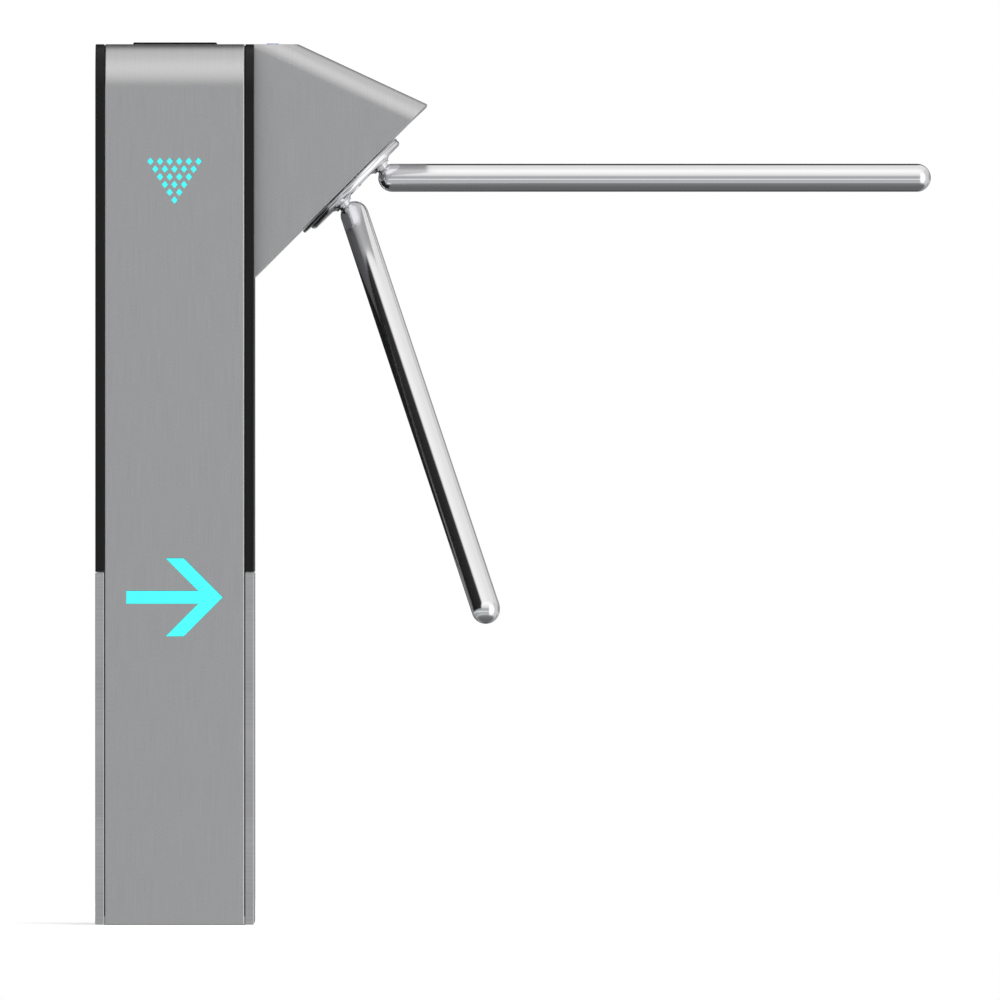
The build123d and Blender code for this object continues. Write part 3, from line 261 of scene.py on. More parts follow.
def as_piece(bm, name):
    """Make a bmesh an object at the origin."""
    mesh = bpy.data.meshes.new(name)
    bm.to_mesh(mesh)
    bm.free()
    return in_scene(name, mesh)


def finish_mesh(bm, name, sharp_past=30):
    """Close, orient and shade a bmesh, and make it an object."""
    clean(bm)
    piece = as_piece(bm, name)
    smooth_but_sharp(piece, sharp_past)
    return piece


def fit_out(piece, body, slot, *nodes, finish=None):
    """Give a piece the finish of its slot, or the finish named, hang it on its body's empty, and hide the CAD
    nodes that it stands for.
    """
    piece.data.materials.clear()
    piece.data.materials.append(FINISHES[finish or slot])
    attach(piece, body)
    if nodes:
        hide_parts(*nodes)


def arc(centre, radius, start, end, steps):
    """Points along an arc, angles in radians."""
    angles = [start + (end - start) * i / steps for i in range(steps + 1)]
    return [(centre[0] + radius * cos(a), centre[1] + radius * sin(a)) for a in angles]


def lathe(bm, profile, matrix, steps):
    """Turn (radius, height) points about the matrix's z axis."""
    rings = []
    angles = [2 * pi * i / steps for i in range(steps)]
    for radius, height in profile:
        around = angles if radius >= ON_AXIS else [0]
        points = [Vector((radius * cos(a), radius * sin(a), height)) for a in around]
        rings.append([bm.verts.new(matrix @ point) for point in points])
    for below, above in zip(rings, rings[1:]):
        for i in range(steps):
            places = ((below, i), (below, i + 1), (above, i + 1), (above, i))
            unique = list(dict.fromkeys(ring[k % len(ring)] for ring, k in places))
            if len(unique) > 2:
                bm.faces.new(unique)


def plate(outlines, thick, edge):
    """A flat plate with holes and rounded edges as a bmesh: x and y in its plane, z from 0 to thick."""
    curve = bpy.data.curves.new("plate", "CURVE")
    curve.dimensions = "2D"
    curve.fill_mode = "BOTH"
    curve.extrude = thick / 2 - edge
    curve.bevel_depth = edge
    curve.bevel_resolution = 1
    curve.offset = -edge
    for outline in outlines:
        spline = curve.splines.new("POLY")
        spline.points.add(len(outline) - 1)
        for point, (x, y) in zip(spline.points, outline):
            point.co = (x, y, 0, 1)
        spline.use_cyclic_u = True
    holder = in_scene("plate", curve)
    bpy.context.view_layer.update()
    mesh = bpy.data.meshes.new_from_object(holder.evaluated_get(bpy.context.evaluated_depsgraph_get()))
    bm = bmesh.new()
    bm.from_mesh(mesh)
    bmesh.ops.translate(bm, verts=bm.verts, vec=(0, 0, thick / 2))
    bmesh.ops.remove_doubles(bm, verts=bm.verts, dist=MERGE)
    bpy.data.objects.remove(holder)
    bpy.data.curves.remove(curve)
    bpy.data.meshes.remove(mesh)
    return bm


def cut_across(bm, place, normal, drop=False):
    """Cut a mesh where a plane crosses it, drop what lies past it if asked, and return the cut's edges."""
    geometry = bm.verts[:] + bm.edges[:] + bm.faces[:]
    cut = bmesh.ops.bisect_plane(bm, geom=geometry, plane_co=place, plane_no=normal, clear_outer=drop)
    return [e for e in cut["geom_cut"] if isinstance(e, bmesh.types.BMEdge)]


def grain_uv(bm, spot=lambda point, face: point.xy):
    """Store where each point lies across and along the brushing, in metres, as the piece's UV map."""
    layer = bm.loops.layers.uv.new("grain")
    for face in bm.faces:
        for loop in face.loops:
            loop[layer].uv = spot(loop.vert.co, face)


def baked(piece):
    """Turn a piece's modifiers into plain mesh."""
    bpy.context.view_layer.update()
    mesh = bpy.data.meshes.new_from_object(piece.evaluated_get(bpy.context.evaluated_depsgraph_get()))
    piece.modifiers.clear()
    piece.data = mesh
    mesh.name = piece.name
    return piece


def refined_copy(node, name):
    """A CAD node's own shape with its triangles merged and its round faces shaded smooth."""
    bm = bmesh.new()
    bm.from_mesh(frame["nodes"][node].data)
    piece = finish_mesh(bm, name, sharp_past=32)
    even = piece.modifiers.new("even", "WEIGHTED_NORMAL")
    even.keep_sharp = True
    even.weight = 100  # the largest faces lead, so flats stay flat
    return baked(piece)


# ---- node helpers ----
def add(tree, kind, inputs=None, **settings):
    """Add one node: an input given another node's output is linked to it, and any other is set."""
    node = tree.nodes.new(kind)
    for key, value in settings.items():
        setattr(node, key, value)
    for key, value in (inputs or {}).items():
        if isinstance(value, bpy.types.NodeSocket):
            tree.links.new(value, node.inputs[key])
        else:
            node.inputs[key].default_value = value
    return node


def work_out(tree, known, steps):
    """Add a sum for each step (name, kind of node, operation, values); a value may be an earlier name."""
    for name, kind, operation, *values in steps:
        inputs = {index: known.get(value, value) for index, value in enumerate(values)}
        known[name] = add(tree, kind, inputs, operation=operation).outputs[0]


def grey_ramp(tree, source, stops):
    """Turn a 0 to 1 value into greys by (place, grey) stops."""
    node = add(tree, "ShaderNodeValToRGB", {"Fac": source})
    elements = node.color_ramp.elements
    while len(elements) < len(stops):
        elements.new(0.5)
    for element, (place, grey) in zip(elements, stops):
        element.position = place
        element.color = (grey, grey, grey, 1)
    return node.outputs["Color"]


# ---- finishes ----
FINISHES = {}  # every material by the record's slot name, filled by the finishes operator


def start_material(name, colour, metallic, roughness, more=None):
    """A material with one Principled shader; colour is linear, and more sets other sockets by name."""
    material = bpy.data.materials.new(name)
    material.use_nodes = True
    tree = material.node_tree
    shader = next(n for n in tree.nodes if n.type == "BSDF_PRINCIPLED")
    sockets = {"Base Color": (*colour, 1), "Metallic": metallic, "Roughness": roughness, **(more or {})}
    for key, value in sockets.items():
        shader.inputs[key].default_value = value
    return material, tree, shader


def vary(tree, shader, pattern, colour, spread, rough=None, relief=None):
    """Let a 0 to 1 pattern change a finish.

    The colour changes by a share of itself, spread. The roughness goes between the two values of rough,
    and relief is a real height and how strongly it shows.
    """
    dark = (*[c * (1 - spread) for c in colour], 1)
    light = (*[min(1, c * (1 + spread)) for c in colour], 1)
    mix = add(tree, "ShaderNodeMix", {0: pattern, 6: dark, 7: light}, data_type="RGBA")
    tree.links.new(mix.outputs[2], shader.inputs["Base Color"])
    if rough:
        span = add(tree, "ShaderNodeMapRange", {"Value": pattern, "To Min": rough[0], "To Max": rough[1]})
        tree.links.new(span.outputs["Result"], shader.inputs["Roughness"])
    if relief:
        bump = add(tree, "ShaderNodeBump", {"Height": pattern, "Distance": relief[0], "Strength": relief[1]})
        tree.links.new(bump.outputs["Normal"], shader.inputs["Normal"])


def blotches(tree, size, detail=2.0):
    """Noise from 0 to 1 in blotches of a real size, fixed to the piece."""
    place = add(tree, "ShaderNodeTexCoord").outputs["Object"]
    noise = add(tree, "ShaderNodeTexNoise", {"Vector": place, "Scale": 1 / size, "Detail": detail})
    return noise.outputs["Fac"]


# Belt marks are about 0.1 mm wide on the real sheet; they are drawn 0.6 mm wide so that they show.
BELT_MARK = 0.6 * MM
BELT_LENGTH = 60 * MM
BELT_SKIP = 2.5 * MM  # length of the short marks where single grits skip


def brushed_stainless(settings, name="stainless_304_belt_brushed", follow=True):
    """304 sheet ground with a belt: long fine marks along the sheet that widen its highlights."""
    material, tree, shader = start_material(name, settings.brushed, 1.0, 0.34)
    if follow:
        source = add(tree, "ShaderNodeUVMap", uv_map="grain").outputs["UV"]
        scale = (1 / BELT_MARK, 1 / BELT_LENGTH, 1)
    else:
        source = add(tree, "ShaderNodeTexCoord").outputs["Object"]
        scale = (1 / BELT_MARK, 1 / BELT_MARK, 1 / BELT_LENGTH)
    long = add(tree, "ShaderNodeMapping", {"Vector": source, "Scale": scale}).outputs["Vector"]
    skips = (1, BELT_LENGTH / BELT_SKIP, 1)
    short = add(tree, "ShaderNodeMapping", {"Vector": long, "Scale": skips}).outputs["Vector"]
    belt = add(tree, "ShaderNodeTexNoise", {"Vector": long, "Scale": 1.0, "Detail": 4.0, "Roughness": 0.65})
    grit = add(tree, "ShaderNodeTexNoise", {"Vector": short, "Scale": 1.0, "Detail": 2.0})
    marks = add(
        tree, "ShaderNodeMix", {0: 0.5, 2: belt.outputs["Fac"], 3: grit.outputs["Fac"]}, data_type="FLOAT"
    ).outputs[0]
    sharper = grey_ramp(tree, marks, [(0.36, 0.0), (0.64, 1.0)])
    vary(tree, shader, sharper, settings.brushed, 0.09, rough=(0.30, 0.40))
    bump = add(tree, "ShaderNodeBump", {"Height": marks, "Distance": 0.02 * MM, "Strength": 0.35})
    tree.links.new(bump.outputs["Normal"], shader.inputs["Normal"])
    return material


def polished_stainless(settings):
    """Tube and discs buffed as they turn: reflections stay sharp round them and smear a little outward."""
    material, tree, shader = start_material(
        "stainless_304_mirror_polished", settings.polished, 1.0, 0.14, {"Anisotropic": 0.9}
    )
    apex = hub_matrix() @ Vector((0, 0, -bpy.context.scene.turnstile_rotor.apex_depth))
    place = add(tree, "ShaderNodeTexCoord").outputs["Object"]
    outward = add(tree, "ShaderNodeVectorMath", {0: place, 1: apex}, operation="SUBTRACT").outputs["Vector"]
    buffed = add(
        tree, "ShaderNodeVectorTransform", {"Vector": outward},
        vector_type="VECTOR", convert_from="OBJECT", convert_to="WORLD",
    )
    tree.links.new(buffed.outputs["Vector"], shader.inputs["Tangent"])
    haze = blotches(tree, 18 * MM, detail=3.0)
    vary(tree, shader, haze, settings.polished, 0.015, rough=(0.09, 0.13))
    return material


def black_panel(settings):
    """Black ABS moulding with a fine spark-eroded grain that breaks up its sheen."""
    material, tree, shader = start_material(
        "abs_black_fine_grain", settings.black, 0.0, 0.38, {"IOR": 1.52, "Specular IOR Level": 0.17}
    )
    grain = blotches(tree, 0.9 * MM, detail=3.0)
    vary(tree, shader, grain, settings.black, 0.10, rough=(0.32, 0.44), relief=(0.015 * MM, 0.3))
    return material


def black_glass():
    """Toughened glass with black enamel printed on its back: deep black under a clear gloss."""
    colour = linear("#060606")
    material, tree, shader = start_material(
        "toughened_glass_black_enamel", colour, 0.0, 0.12, {"IOR": 1.52, "Specular IOR Level": 0.12}
    )
    smudge = blotches(tree, 35 * MM, detail=3.0)
    vary(tree, shader, smudge, colour, 0.12, rough=(0.05, 0.14))
    return material


def lit_diffuser(settings):
    """Opal acrylic lit from behind: an even glow that drowns its own dim colour."""
    glow = {"Emission Color": (*settings.glow, 1), "Emission Strength": 0.92}
    material, tree, shader = start_material(
        "opal_acrylic_lit_cyan", settings.glow, 0.0, 0.35, {"IOR": 1.49, "Specular IOR Level": 0.2, **glow}
    )
    cloud = blotches(tree, 9 * MM)
    share_unlit = 0.08
    vary(tree, shader, cloud, [c * share_unlit for c in settings.glow], 0.3, rough=(0.30, 0.42))
    return material


def tinted_lens(settings):
    """Tinted polycarbonate lens: glossy, with the blue-grey of its filter."""
    material, tree, shader = start_material(
        "polycarbonate_tinted_lens", settings.lens, 0.0, 0.08, {"IOR": 1.58}
    )
    vary(tree, shader, blotches(tree, 3 * MM), settings.lens, 0.06)
    return material


def turned_steel():
    """Ground bearing steel: fine marks of the wheel that break up a bright shine."""
    colour = linear("#C9CACC")
    material, tree, shader = start_material("bearing_steel_ground", colour, 1.0, 0.16)
    vary(tree, shader, blotches(tree, 1.2 * MM, detail=4.0), colour, 0.03, rough=(0.12, 0.24))
    return material


def speckled(name, hex_code, metallic, roughness, size, spread, height):
    """A finish with grain of one real size and height: castings, mouldings, coats and solder mask."""
    colour = linear(hex_code)
    material, tree, shader = start_material(name, colour, metallic, roughness)
    rough = (roughness * 0.85, min(1, roughness * 1.2))
    vary(tree, shader, blotches(tree, size, detail=3.0), colour, spread, rough=rough, relief=(height, 0.4))
    return material


# Slot: name, colour, metallic, roughness, size of its grain, colour spread, height of its grain.
SPECKLED = {
    # Powder coat baked on steel: deep black, with an orange peel that leaves no shine. Its black is also painted
    # shade for the gaps beside the casing's edges, where this frame shows.
    "black_coated_steel": ("steel_black_coat_painted_gap_shade", "#0A0A0A", 0.0, 0.6, 1.3 * MM, 0.20, 0.03 * MM),
    # Zinc plated on steel: pale, with wide soft clouds of crystal.
    "zinc_steel": ("steel_zinc_plated", "#B9BBB6", 1.0, 0.36, 14 * MM, 0.10, 0.005 * MM),
    # Aluminium cast in a die: dull silver, with the pebbly skin of its mould.
    "cast_aluminium": ("aluminium_die_cast", "#B4B5B6", 1.0, 0.46, 1.6 * MM, 0.07, 0.05 * MM),
    # Natural nylon, moulded: waxy cream with a slight cloudiness.
    "gear_nylon": ("nylon_natural_moulded", "#D9D4C2", 0.0, 0.42, 5 * MM, 0.04, 0.01 * MM),
    # Black ABS, moulded: dark grey with a fine satin grain.
    "black_plastic": ("abs_black_moulded", "#1B1B1C", 0.0, 0.48, 0.8 * MM, 0.12, 0.02 * MM),
    # EPDM rubber, moulded: matt black that swallows the light.
    "grommet_rubber": ("epdm_rubber", "#141414", 0.0, 0.72, 1.1 * MM, 0.15, 0.03 * MM),
    # Solder mask on a glass-fibre board: glossy dark green, mottled by the copper under it.
    "circuit_board": ("fr4_green_solder_mask", "#12472A", 0.0, 0.30, 2.4 * MM, 0.18, 0.01 * MM),
    # Spring steel, drawn: dark bright wire.
    "spring_steel": ("spring_steel_drawn", "#8E8F92", 1.0, 0.26, 0.7 * MM, 0.06, 0.004 * MM),
}


def make_finishes(settings):
    """Every finish, by the record's slot name; the sheet version follows a piece's grain map."""
    return {
        "sheet": brushed_stainless(settings),
        "brushed_stainless": brushed_stainless(settings, "stainless_304_belt_brushed_small", follow=False),
        "polished_stainless": polished_stainless(settings),
        "black_panel": black_panel(settings),
        "black_glass": black_glass(),
        "cyan_diffuser": lit_diffuser(settings),
        "lens_acrylic": tinted_lens(settings),
        "bearing_steel": turned_steel(),
        **{slot: speckled(*row) for slot, row in SPECKLED.items()},
    }


class TURNSTILE_OT_finishes(bpy.types.Operator):
    """Make every finish and give each CAD node the one of its slot"""

    bl_idname = "turnstile.finishes"
    bl_label = "Finishes"

    def execute(self, context):
        FINISHES.update(make_finishes(context.scene.turnstile_finish))
        for row in frame["record"]["subparts"]:
            mesh = frame["nodes"][row["node"]].data
            material = FINISHES[row["material_slot"]]
            if not mesh.materials:
                mesh.materials.append(material)
            for index in range(len(mesh.materials)):
                mesh.materials[index] = material
        return {"FINISHED"}


# ---- casing ----
def rectangle(x0, y0, x1, y1, corner=0.0, steps=4):
    """A rectangle's outline, its corners rounded if asked."""
    if not corner:
        return [(x0, y0), (x1, y0), (x1, y1), (x0, y1)]
    turns = [
        ((x1 - corner, y0 + corner), -pi / 2),
        ((x1 - corner, y1 - corner), 0),
        ((x0 + corner, y1 - corner), pi / 2),
        ((x0 + corner, y0 + corner), pi),
    ]
    return [p for centre, start in turns for p in arc(centre, corner, start, start + pi / 2, steps)]


def diamond_places(settings):
    """Centres of the diamonds, in the plane of the front, from the CAD diffuser's place."""
    top = box_of("status_diffuser")[1].z - settings.lip - settings.half_height
    places = []
    for row in range(settings.rows):
        last = settings.rows - row - 1
        z = top - row * settings.row_pitch
        places += [((i - last / 2) * settings.pitch, z) for i in range(last + 1)]
    return places


def arrow_outline(settings, shrink):
    """The arrow that points at the lane, from the CAD diffuser's place, drawn in by shrink."""
    low, high = box_of("arrow_diffuser")
    middle = (low.z + high.z) / 2
    half = (high.x - low.x) / 2 - settings.lip
    rise = (high.z - low.z) / 2 - settings.lip
    stroke = settings.stroke / 2
    back = 2 * stroke * sqrt(2)
    slant = shrink * tan(pi / 8)
    upper = [
        (half - shrink * sqrt(2), 0),
        (half - rise - slant, rise - shrink),
        (half - rise - back + shrink * (1 + sqrt(2)), rise - shrink),
        (half - back - stroke + shrink * (1 + sqrt(2)), stroke - shrink),
        (-half + shrink, stroke - shrink),
    ]
    lower = [(x, -y) for x, y in reversed(upper[1:])]
    return [(x, middle + y) for x, y in upper + lower]


def fold_over(r, depth, height, foot):
    """Folds of radius r: where a point of the flat blank goes, and the lengths of the blank's stretches."""
    wall = height - r - foot
    quarter = r * pi / 2
    top = depth - 2 * r

    def place(across, along, out):
        reach = r + out
        if along <= wall:
            return Vector((across, -depth / 2 - out, foot + along))
        if along <= wall + quarter:
            turn = (along - wall) / r
            return Vector((across, -depth / 2 + r - reach * cos(turn), height - r + reach * sin(turn)))
        if along <= wall + quarter + top:
            return Vector((across, -depth / 2 + r + along - wall - quarter, height + out))
        if along <= wall + 2 * quarter + top:
            turn = (along - wall - quarter - top) / r
            return Vector((across, depth / 2 - r + reach * sin(turn), height - r + reach * cos(turn)))
        return Vector((across, depth / 2 + out, height - r - (along - wall - 2 * quarter - top)))

    return place, wall, quarter, top


def ease_long_edges(bm, half, settings):
    """Let the blank's outer face fall away along its two long edges, as linishing leaves it."""
    width = settings.shoulder
    start = half - width
    for side in (1, -1):
        for i in range(settings.shoulder_steps):
            x = side * (start + width * i / settings.shoulder_steps)
            cut_across(bm, (x, 0, 0), (1, 0, 0))
    for vert in bm.verts:
        past = max(0, abs(vert.co.x) - start) / width
        vert.co.z -= settings.shoulder_drop * past ** 2 * vert.co.z / settings.skin


class TURNSTILE_OT_casing(bpy.types.Operator):
    """One laser-cut sheet folded over the post, with its windows and the service opening"""

    bl_idname = "turnstile.casing"
    bl_label = "Casing"

    def execute(self, context):
        settings = context.scene.turnstile_casing
        lights = context.scene.turnstile_light
        low, high = box_of("casing_wrap")
        foot, half = low.z, high.x
        place, wall, quarter, top = fold_over(settings.bend, high.y - low.y, high.z, foot)
        length = 2 * wall + 2 * quarter + top
        middle = length / 2
        window_x, window_y = settings.window_width / 2, settings.window_length / 2
        door_low, door_high = box_of("service_door")
        gap = settings.door_gap
        door_x = door_high.x + gap
        door_y = sorted(length - (z - foot) for z in (door_low.z - gap, door_high.z + gap))
        outlines = [
            rectangle(-half, 0, half, length),
            [(x, z - foot) for x, z in arrow_outline(lights, 0)],
            rectangle(-window_x, middle - window_y, window_x, middle + window_y),
        ]
        wide, tall = lights.half_width, lights.half_height
        for x, z in diamond_places(lights):
            y = z - foot
            outlines.append([(x + wide, y), (x, y + tall), (x - wide, y), (x, y - tall)])
        outlines.append(rectangle(-door_x, door_y[0], door_x, door_y[1]))
        bm = plate(outlines, settings.skin, settings.edge)
        margin = 1 * MM  # narrow flats beside the folds keep the long walls' shading flat
        for start in (wall, wall + quarter + top):
            cuts = [start + quarter * i / settings.bend_steps for i in range(settings.bend_steps + 1)]
            for y in (*cuts, start - margin, start + quarter + margin):
                cut_across(bm, (0, y, 0), (0, 1, 0))
        ease_long_edges(bm, half, settings)
        grain_uv(bm)
        for vert in bm.verts:
            x, along, out = vert.co
            vert.co = place(x, along, out - settings.skin)
        piece = finish_mesh(bm, "casing_sheet", sharp_past=20)
        fit_out(piece, "post", "brushed_stainless", "casing_wrap", finish="sheet")
        return {"FINISHED"}


def panel_outline(foot, height, depth, r, steps):
    """Outline of a side panel, y and z, with its upper corners rounded where r isn't 0."""
    half = depth / 2
    if not r:
        return rectangle(-half, foot, half, height)
    return [
        (-half, foot), (half, foot),
        *arc((half - r, height - r), r, 0, pi / 2, steps),
        *arc((-half + r, height - r), r, pi / 2, pi, steps),
    ]


class TURNSTILE_OT_side_panels(bpy.types.Operator):
    """Black upper panels and brushed lower panels on both sides of the post"""

    bl_idname = "turnstile.side_panels"
    bl_label = "Side panels"

    def execute(self, context):
        settings = context.scene.turnstile_casing
        levels = (
            ("upper", settings.bend, "black_panel", "black_panel"),
            ("lower", 0, "brushed_stainless", "sheet"),
        )
        for side in ("left", "right"):
            for level, r, slot, finish in levels:
                node = f"{level}_panel_{side}"
                low, high = box_of(node)
                outline = panel_outline(low.z, high.z, high.y - low.y, r, settings.bend_steps)
                bm = plate([outline], high.x - low.x, settings.panel_edge)
                grain_uv(bm)
                for vert in bm.verts:
                    y, z, out = vert.co
                    vert.co = (low.x + out, y, z)
                piece = finish_mesh(bm, f"side_{level}_{side}", sharp_past=12)
                fit_out(piece, "post", slot, node, finish=finish)
        return {"FINISHED"}


# ---- trees for what repeats ----
def start_tree(name, sizes):
    """A Geometry Nodes tree with an input for each name in sizes, of that kind, and one for the finish."""
    tree = bpy.data.node_groups.new(name, "GeometryNodeTree")
    for key, kind in {"Geometry": "Geometry", **sizes, "Finish": "Material"}.items():
        tree.interface.new_socket(key, in_out="INPUT", socket_type=f"NodeSocket{kind}")
    tree.interface.new_socket("Geometry", in_out="OUTPUT", socket_type="NodeSocketGeometry")
    return tree, add(tree, "NodeGroupInput").outputs


def end_tree(tree, given, instances):
    """Make the instances real, give them their finish and end the tree."""
    real = add(tree, "GeometryNodeRealizeInstances", {"Geometry": instances.outputs[0]}).outputs[0]
    painted = add(tree, "GeometryNodeSetMaterial", {"Geometry": real, "Material": given["Finish"]}).outputs[0]
    add(tree, "NodeGroupOutput", {"Geometry": painted})
    return tree


def grown(name, tree, inputs, places=()):
    """Run a tree with named inputs, on points at places where it needs them, and keep plain mesh."""
    piece = in_scene(name, bpy.data.meshes.new(name + "_seed"))
    piece.data.from_pydata(places, [], [])
    modifier = piece.modifiers.new("grow", "NODES")
    modifier.node_group = tree
    for socket in tree.interface.items_tree:
        if socket.item_type == "SOCKET" and socket.in_out == "INPUT" and socket.name in inputs:
            modifier[socket.identifier] = inputs[socket.name]
    return baked(piece)


# ---- lights ----
def diamond_tree():
    """Rows of diamonds, each row one shorter than the last: a square of points, less its surplus corner."""
    lengths = ("Pitch", "Row pitch", "Half width", "Half height", "Depth", "Top", "Front")
    tree, given = start_tree("status_diamonds", {"Rows": "Int", **dict.fromkeys(lengths, "Float")})
    whole, real = "FunctionNodeIntegerMath", "ShaderNodeMath"
    known = {**dict(given.items()), "index": add(tree, "GeometryNodeInputIndex").outputs[0]}
    work_out(tree, known, (
        ("total", whole, "MULTIPLY", "Rows", "Rows"),
        ("row", whole, "DIVIDE_FLOOR", "index", "Rows"),
        ("column", whole, "FLOORED_MODULO", "index", "Rows"),
        ("in row", whole, "SUBTRACT", "Rows", "row"),
        ("gaps", whole, "SUBTRACT", "in row", 1),
        ("to middle", real, "MULTIPLY", "gaps", 0.5),
        ("past middle", real, "SUBTRACT", "column", "to middle"),
        ("x", real, "MULTIPLY", "past middle", "Pitch"),
        ("drop", real, "MULTIPLY", "row", "Row pitch"),
        ("z", real, "SUBTRACT", "Top", "drop"),
    ))
    place = add(tree, "ShaderNodeCombineXYZ", {"X": known["x"], "Y": given["Front"], "Z": known["z"]})
    points = add(tree, "GeometryNodePoints", {"Count": known["total"], "Position": place.outputs[0]})
    surplus = add(
        tree, "FunctionNodeCompare", {2: known["column"], 3: known["in row"]},
        data_type="INT", operation="GREATER_EQUAL",
    ).outputs[0]
    kept = add(
        tree, "GeometryNodeDeleteGeometry", {"Geometry": points.outputs[0], "Selection": surplus},
        domain="POINT",
    )
    diamond = add(tree, "GeometryNodeMeshCylinder", {"Vertices": 4, "Radius": 1.0, "Depth": given["Depth"]})
    size = add(tree, "ShaderNodeCombineXYZ", {"X": given["Half width"], "Y": given["Half height"], "Z": 1.0})
    upright = (pi / 2, 0, 0)
    instances = add(tree, "GeometryNodeInstanceOnPoints", {
        "Points": kept.outputs[0], "Instance": diamond.outputs["Mesh"], "Rotation": upright,
        "Scale": size.outputs[0],
    })
    return end_tree(tree, given, instances)


class TURNSTILE_OT_lights(bpy.types.Operator):
    """Lit diamonds that show the way is free, and the lit arrow to the lane"""

    bl_idname = "turnstile.lights"
    bl_label = "Lights"

    def execute(self, context):
        settings = context.scene.turnstile_light
        casing = context.scene.turnstile_casing
        low, high = box_of("status_diffuser")
        wide, tall = settings.half_width, settings.half_height
        piece = grown("status_diamonds", diamond_tree(), {
            "Rows": settings.rows, "Pitch": settings.pitch, "Row pitch": settings.row_pitch,
            "Half width": wide - settings.fit, "Half height": tall - settings.fit, "Depth": casing.skin,
            "Top": high.z - settings.lip - tall, "Front": low.y + casing.skin / 2,
            "Finish": FINISHES["cyan_diffuser"],
        })
        fit_out(piece, "post", "cyan_diffuser", "status_diffuser")
        front = box_of("arrow_diffuser")[0].y
        bm = plate([arrow_outline(settings, settings.fit)], casing.skin, casing.edge)
        for vert in bm.verts:
            x, z, out = vert.co
            vert.co = (x, front + casing.skin - out, z)
        piece = finish_mesh(bm, "arrow_light", sharp_past=12)
        piece.visible_glossy = False  # the glow is too faint to show in the metal beside it
        fit_out(piece, "post", "cyan_diffuser", "arrow_diffuser")
        return {"FINISHED"}


class TURNSTILE_OT_reader(bpy.types.Operator):
    """Black glass reader pad on the post's top"""

    bl_idname = "turnstile.reader"
    bl_label = "Reader pad"

    def execute(self, context):
        settings = context.scene.turnstile_casing
        low, high = box_of("reader_pad")
        top = box_of("casing_wrap")[1].z
        thick = high.z - top
        outline = rectangle(low.x, low.y, high.x, high.y, corner=settings.pad_corner, steps=8)
        bm = plate([outline], 2 * thick, thick / 2)
        for vert in bm.verts:
            vert.co.z = max(top - settings.pad_sunk, high.z - 2 * thick + vert.co.z)
        piece = finish_mesh(bm, "reader_glass", sharp_past=20)
        fit_out(piece, "post", "black_glass", "reader_pad")
        return {"FINISHED"}


# ---- head ----
SIDEWAYS = 0.7  # a face whose normal's y is past this is on the head's front or back side


def folded_roof(settings, half, tip):
    """The roof and its two sides as one folded strip, longer each way than the head, as a bmesh."""
    down_roof = Vector((cos(settings.roof_slope), 0, -sin(settings.roof_slope)))
    off_roof = Vector((sin(settings.roof_slope), 0, cos(settings.roof_slope)))
    r, steps = settings.roof_round, settings.round_steps
    skirt = 3 * half
    section = [
        (-half, -skirt),
        *arc((-half + r, -r), r, pi, pi / 2, steps),
        *arc((half - r, -r), r, pi / 2, 0, steps),
        (half, -skirt),
    ]
    bm = bmesh.new()
    past_post, past_tip = -0.5, 0.1
    high_row, low_row = (
        [bm.verts.new(tip + down_roof * along + Vector((0, y, 0)) + off_roof * up) for y, up in section]
        for along in (past_post, past_tip)
    )
    for a, b, c, d in zip(high_row, high_row[1:], low_row[1:], low_row):
        bm.faces.new((a, b, c, d))
    return bm


class TURNSTILE_OT_head(bpy.types.Operator):
    """Folded head: sloping roof with rounded edges, cut flat at the top and slanted below"""

    bl_idname = "turnstile.head"
    bl_label = "Head"

    def execute(self, context):
        settings = context.scene.turnstile_head
        low, high = box_of("head_shell")
        foot = Vector((low.x, 0, low.z))
        tip = Vector((high.x, 0, low.z + high.x - low.x))
        bm = folded_roof(settings, high.y, tip)
        cut_across(bm, foot, (-1, 0, 0), drop=True)
        cut_across(bm, foot, Vector((1, 0, -1)).normalized(), drop=True)
        rim = cut_across(bm, (0, 0, high.z), (0, 0, 1), drop=True)
        ends = [v for v in bm.verts if abs(v.co.z - high.z) < TOUCH and abs(v.co.x - low.x) < TOUCH]
        if len(ends) == 2:
            rim.append(bm.edges.new(ends))
        bmesh.ops.triangle_fill(bm, edges=rim, use_beauty=True)
        clean(bm)
        outward = sum(f.normal.y * f.calc_center_median().y for f in bm.faces)
        if outward < 0:
            bmesh.ops.reverse_faces(bm, faces=bm.faces)
        grain_uv(bm, lambda p, face: (p.x, p.z) if abs(face.normal.y) > SIDEWAYS else (p.y, p.x))
        piece = as_piece(bm, "head_sheet")
        wall = piece.modifiers.new("wall", "SOLIDIFY")
        wall.thickness = settings.wall
        wall.offset = -1
        wall.use_even_offset = True
        edge = piece.modifiers.new("edge", "BEVEL")
        edge.width = settings.edge
        edge.segments = 2
        edge.limit_method = "ANGLE"
        edge.angle_limit = radians(20)
        baked(piece)
        smooth_but_sharp(piece, sharp_past=14)
        fit_out(piece, "post", "brushed_stainless", "head_shell", finish="sheet")
        fit_out(refined_copy("head_lens", "head_lens_cover"), "post", "lens_acrylic", "head_lens")
        return {"FINISHED"}


# ---- rotor ----
def flange_outline(settings, inset, steps):
    """The rounded triangle: arcs round one circle for each arm, drawn in by inset."""
    points = []
    half_turn = pi / settings.arm_count
    for lobe in range(settings.arm_count):
        turn = 2 * half_turn * lobe
        centre = (settings.lobe_at * cos(turn), settings.lobe_at * sin(turn))
        points += arc(centre, settings.lobe_r - inset, turn - half_turn, turn + half_turn, steps)
    return points


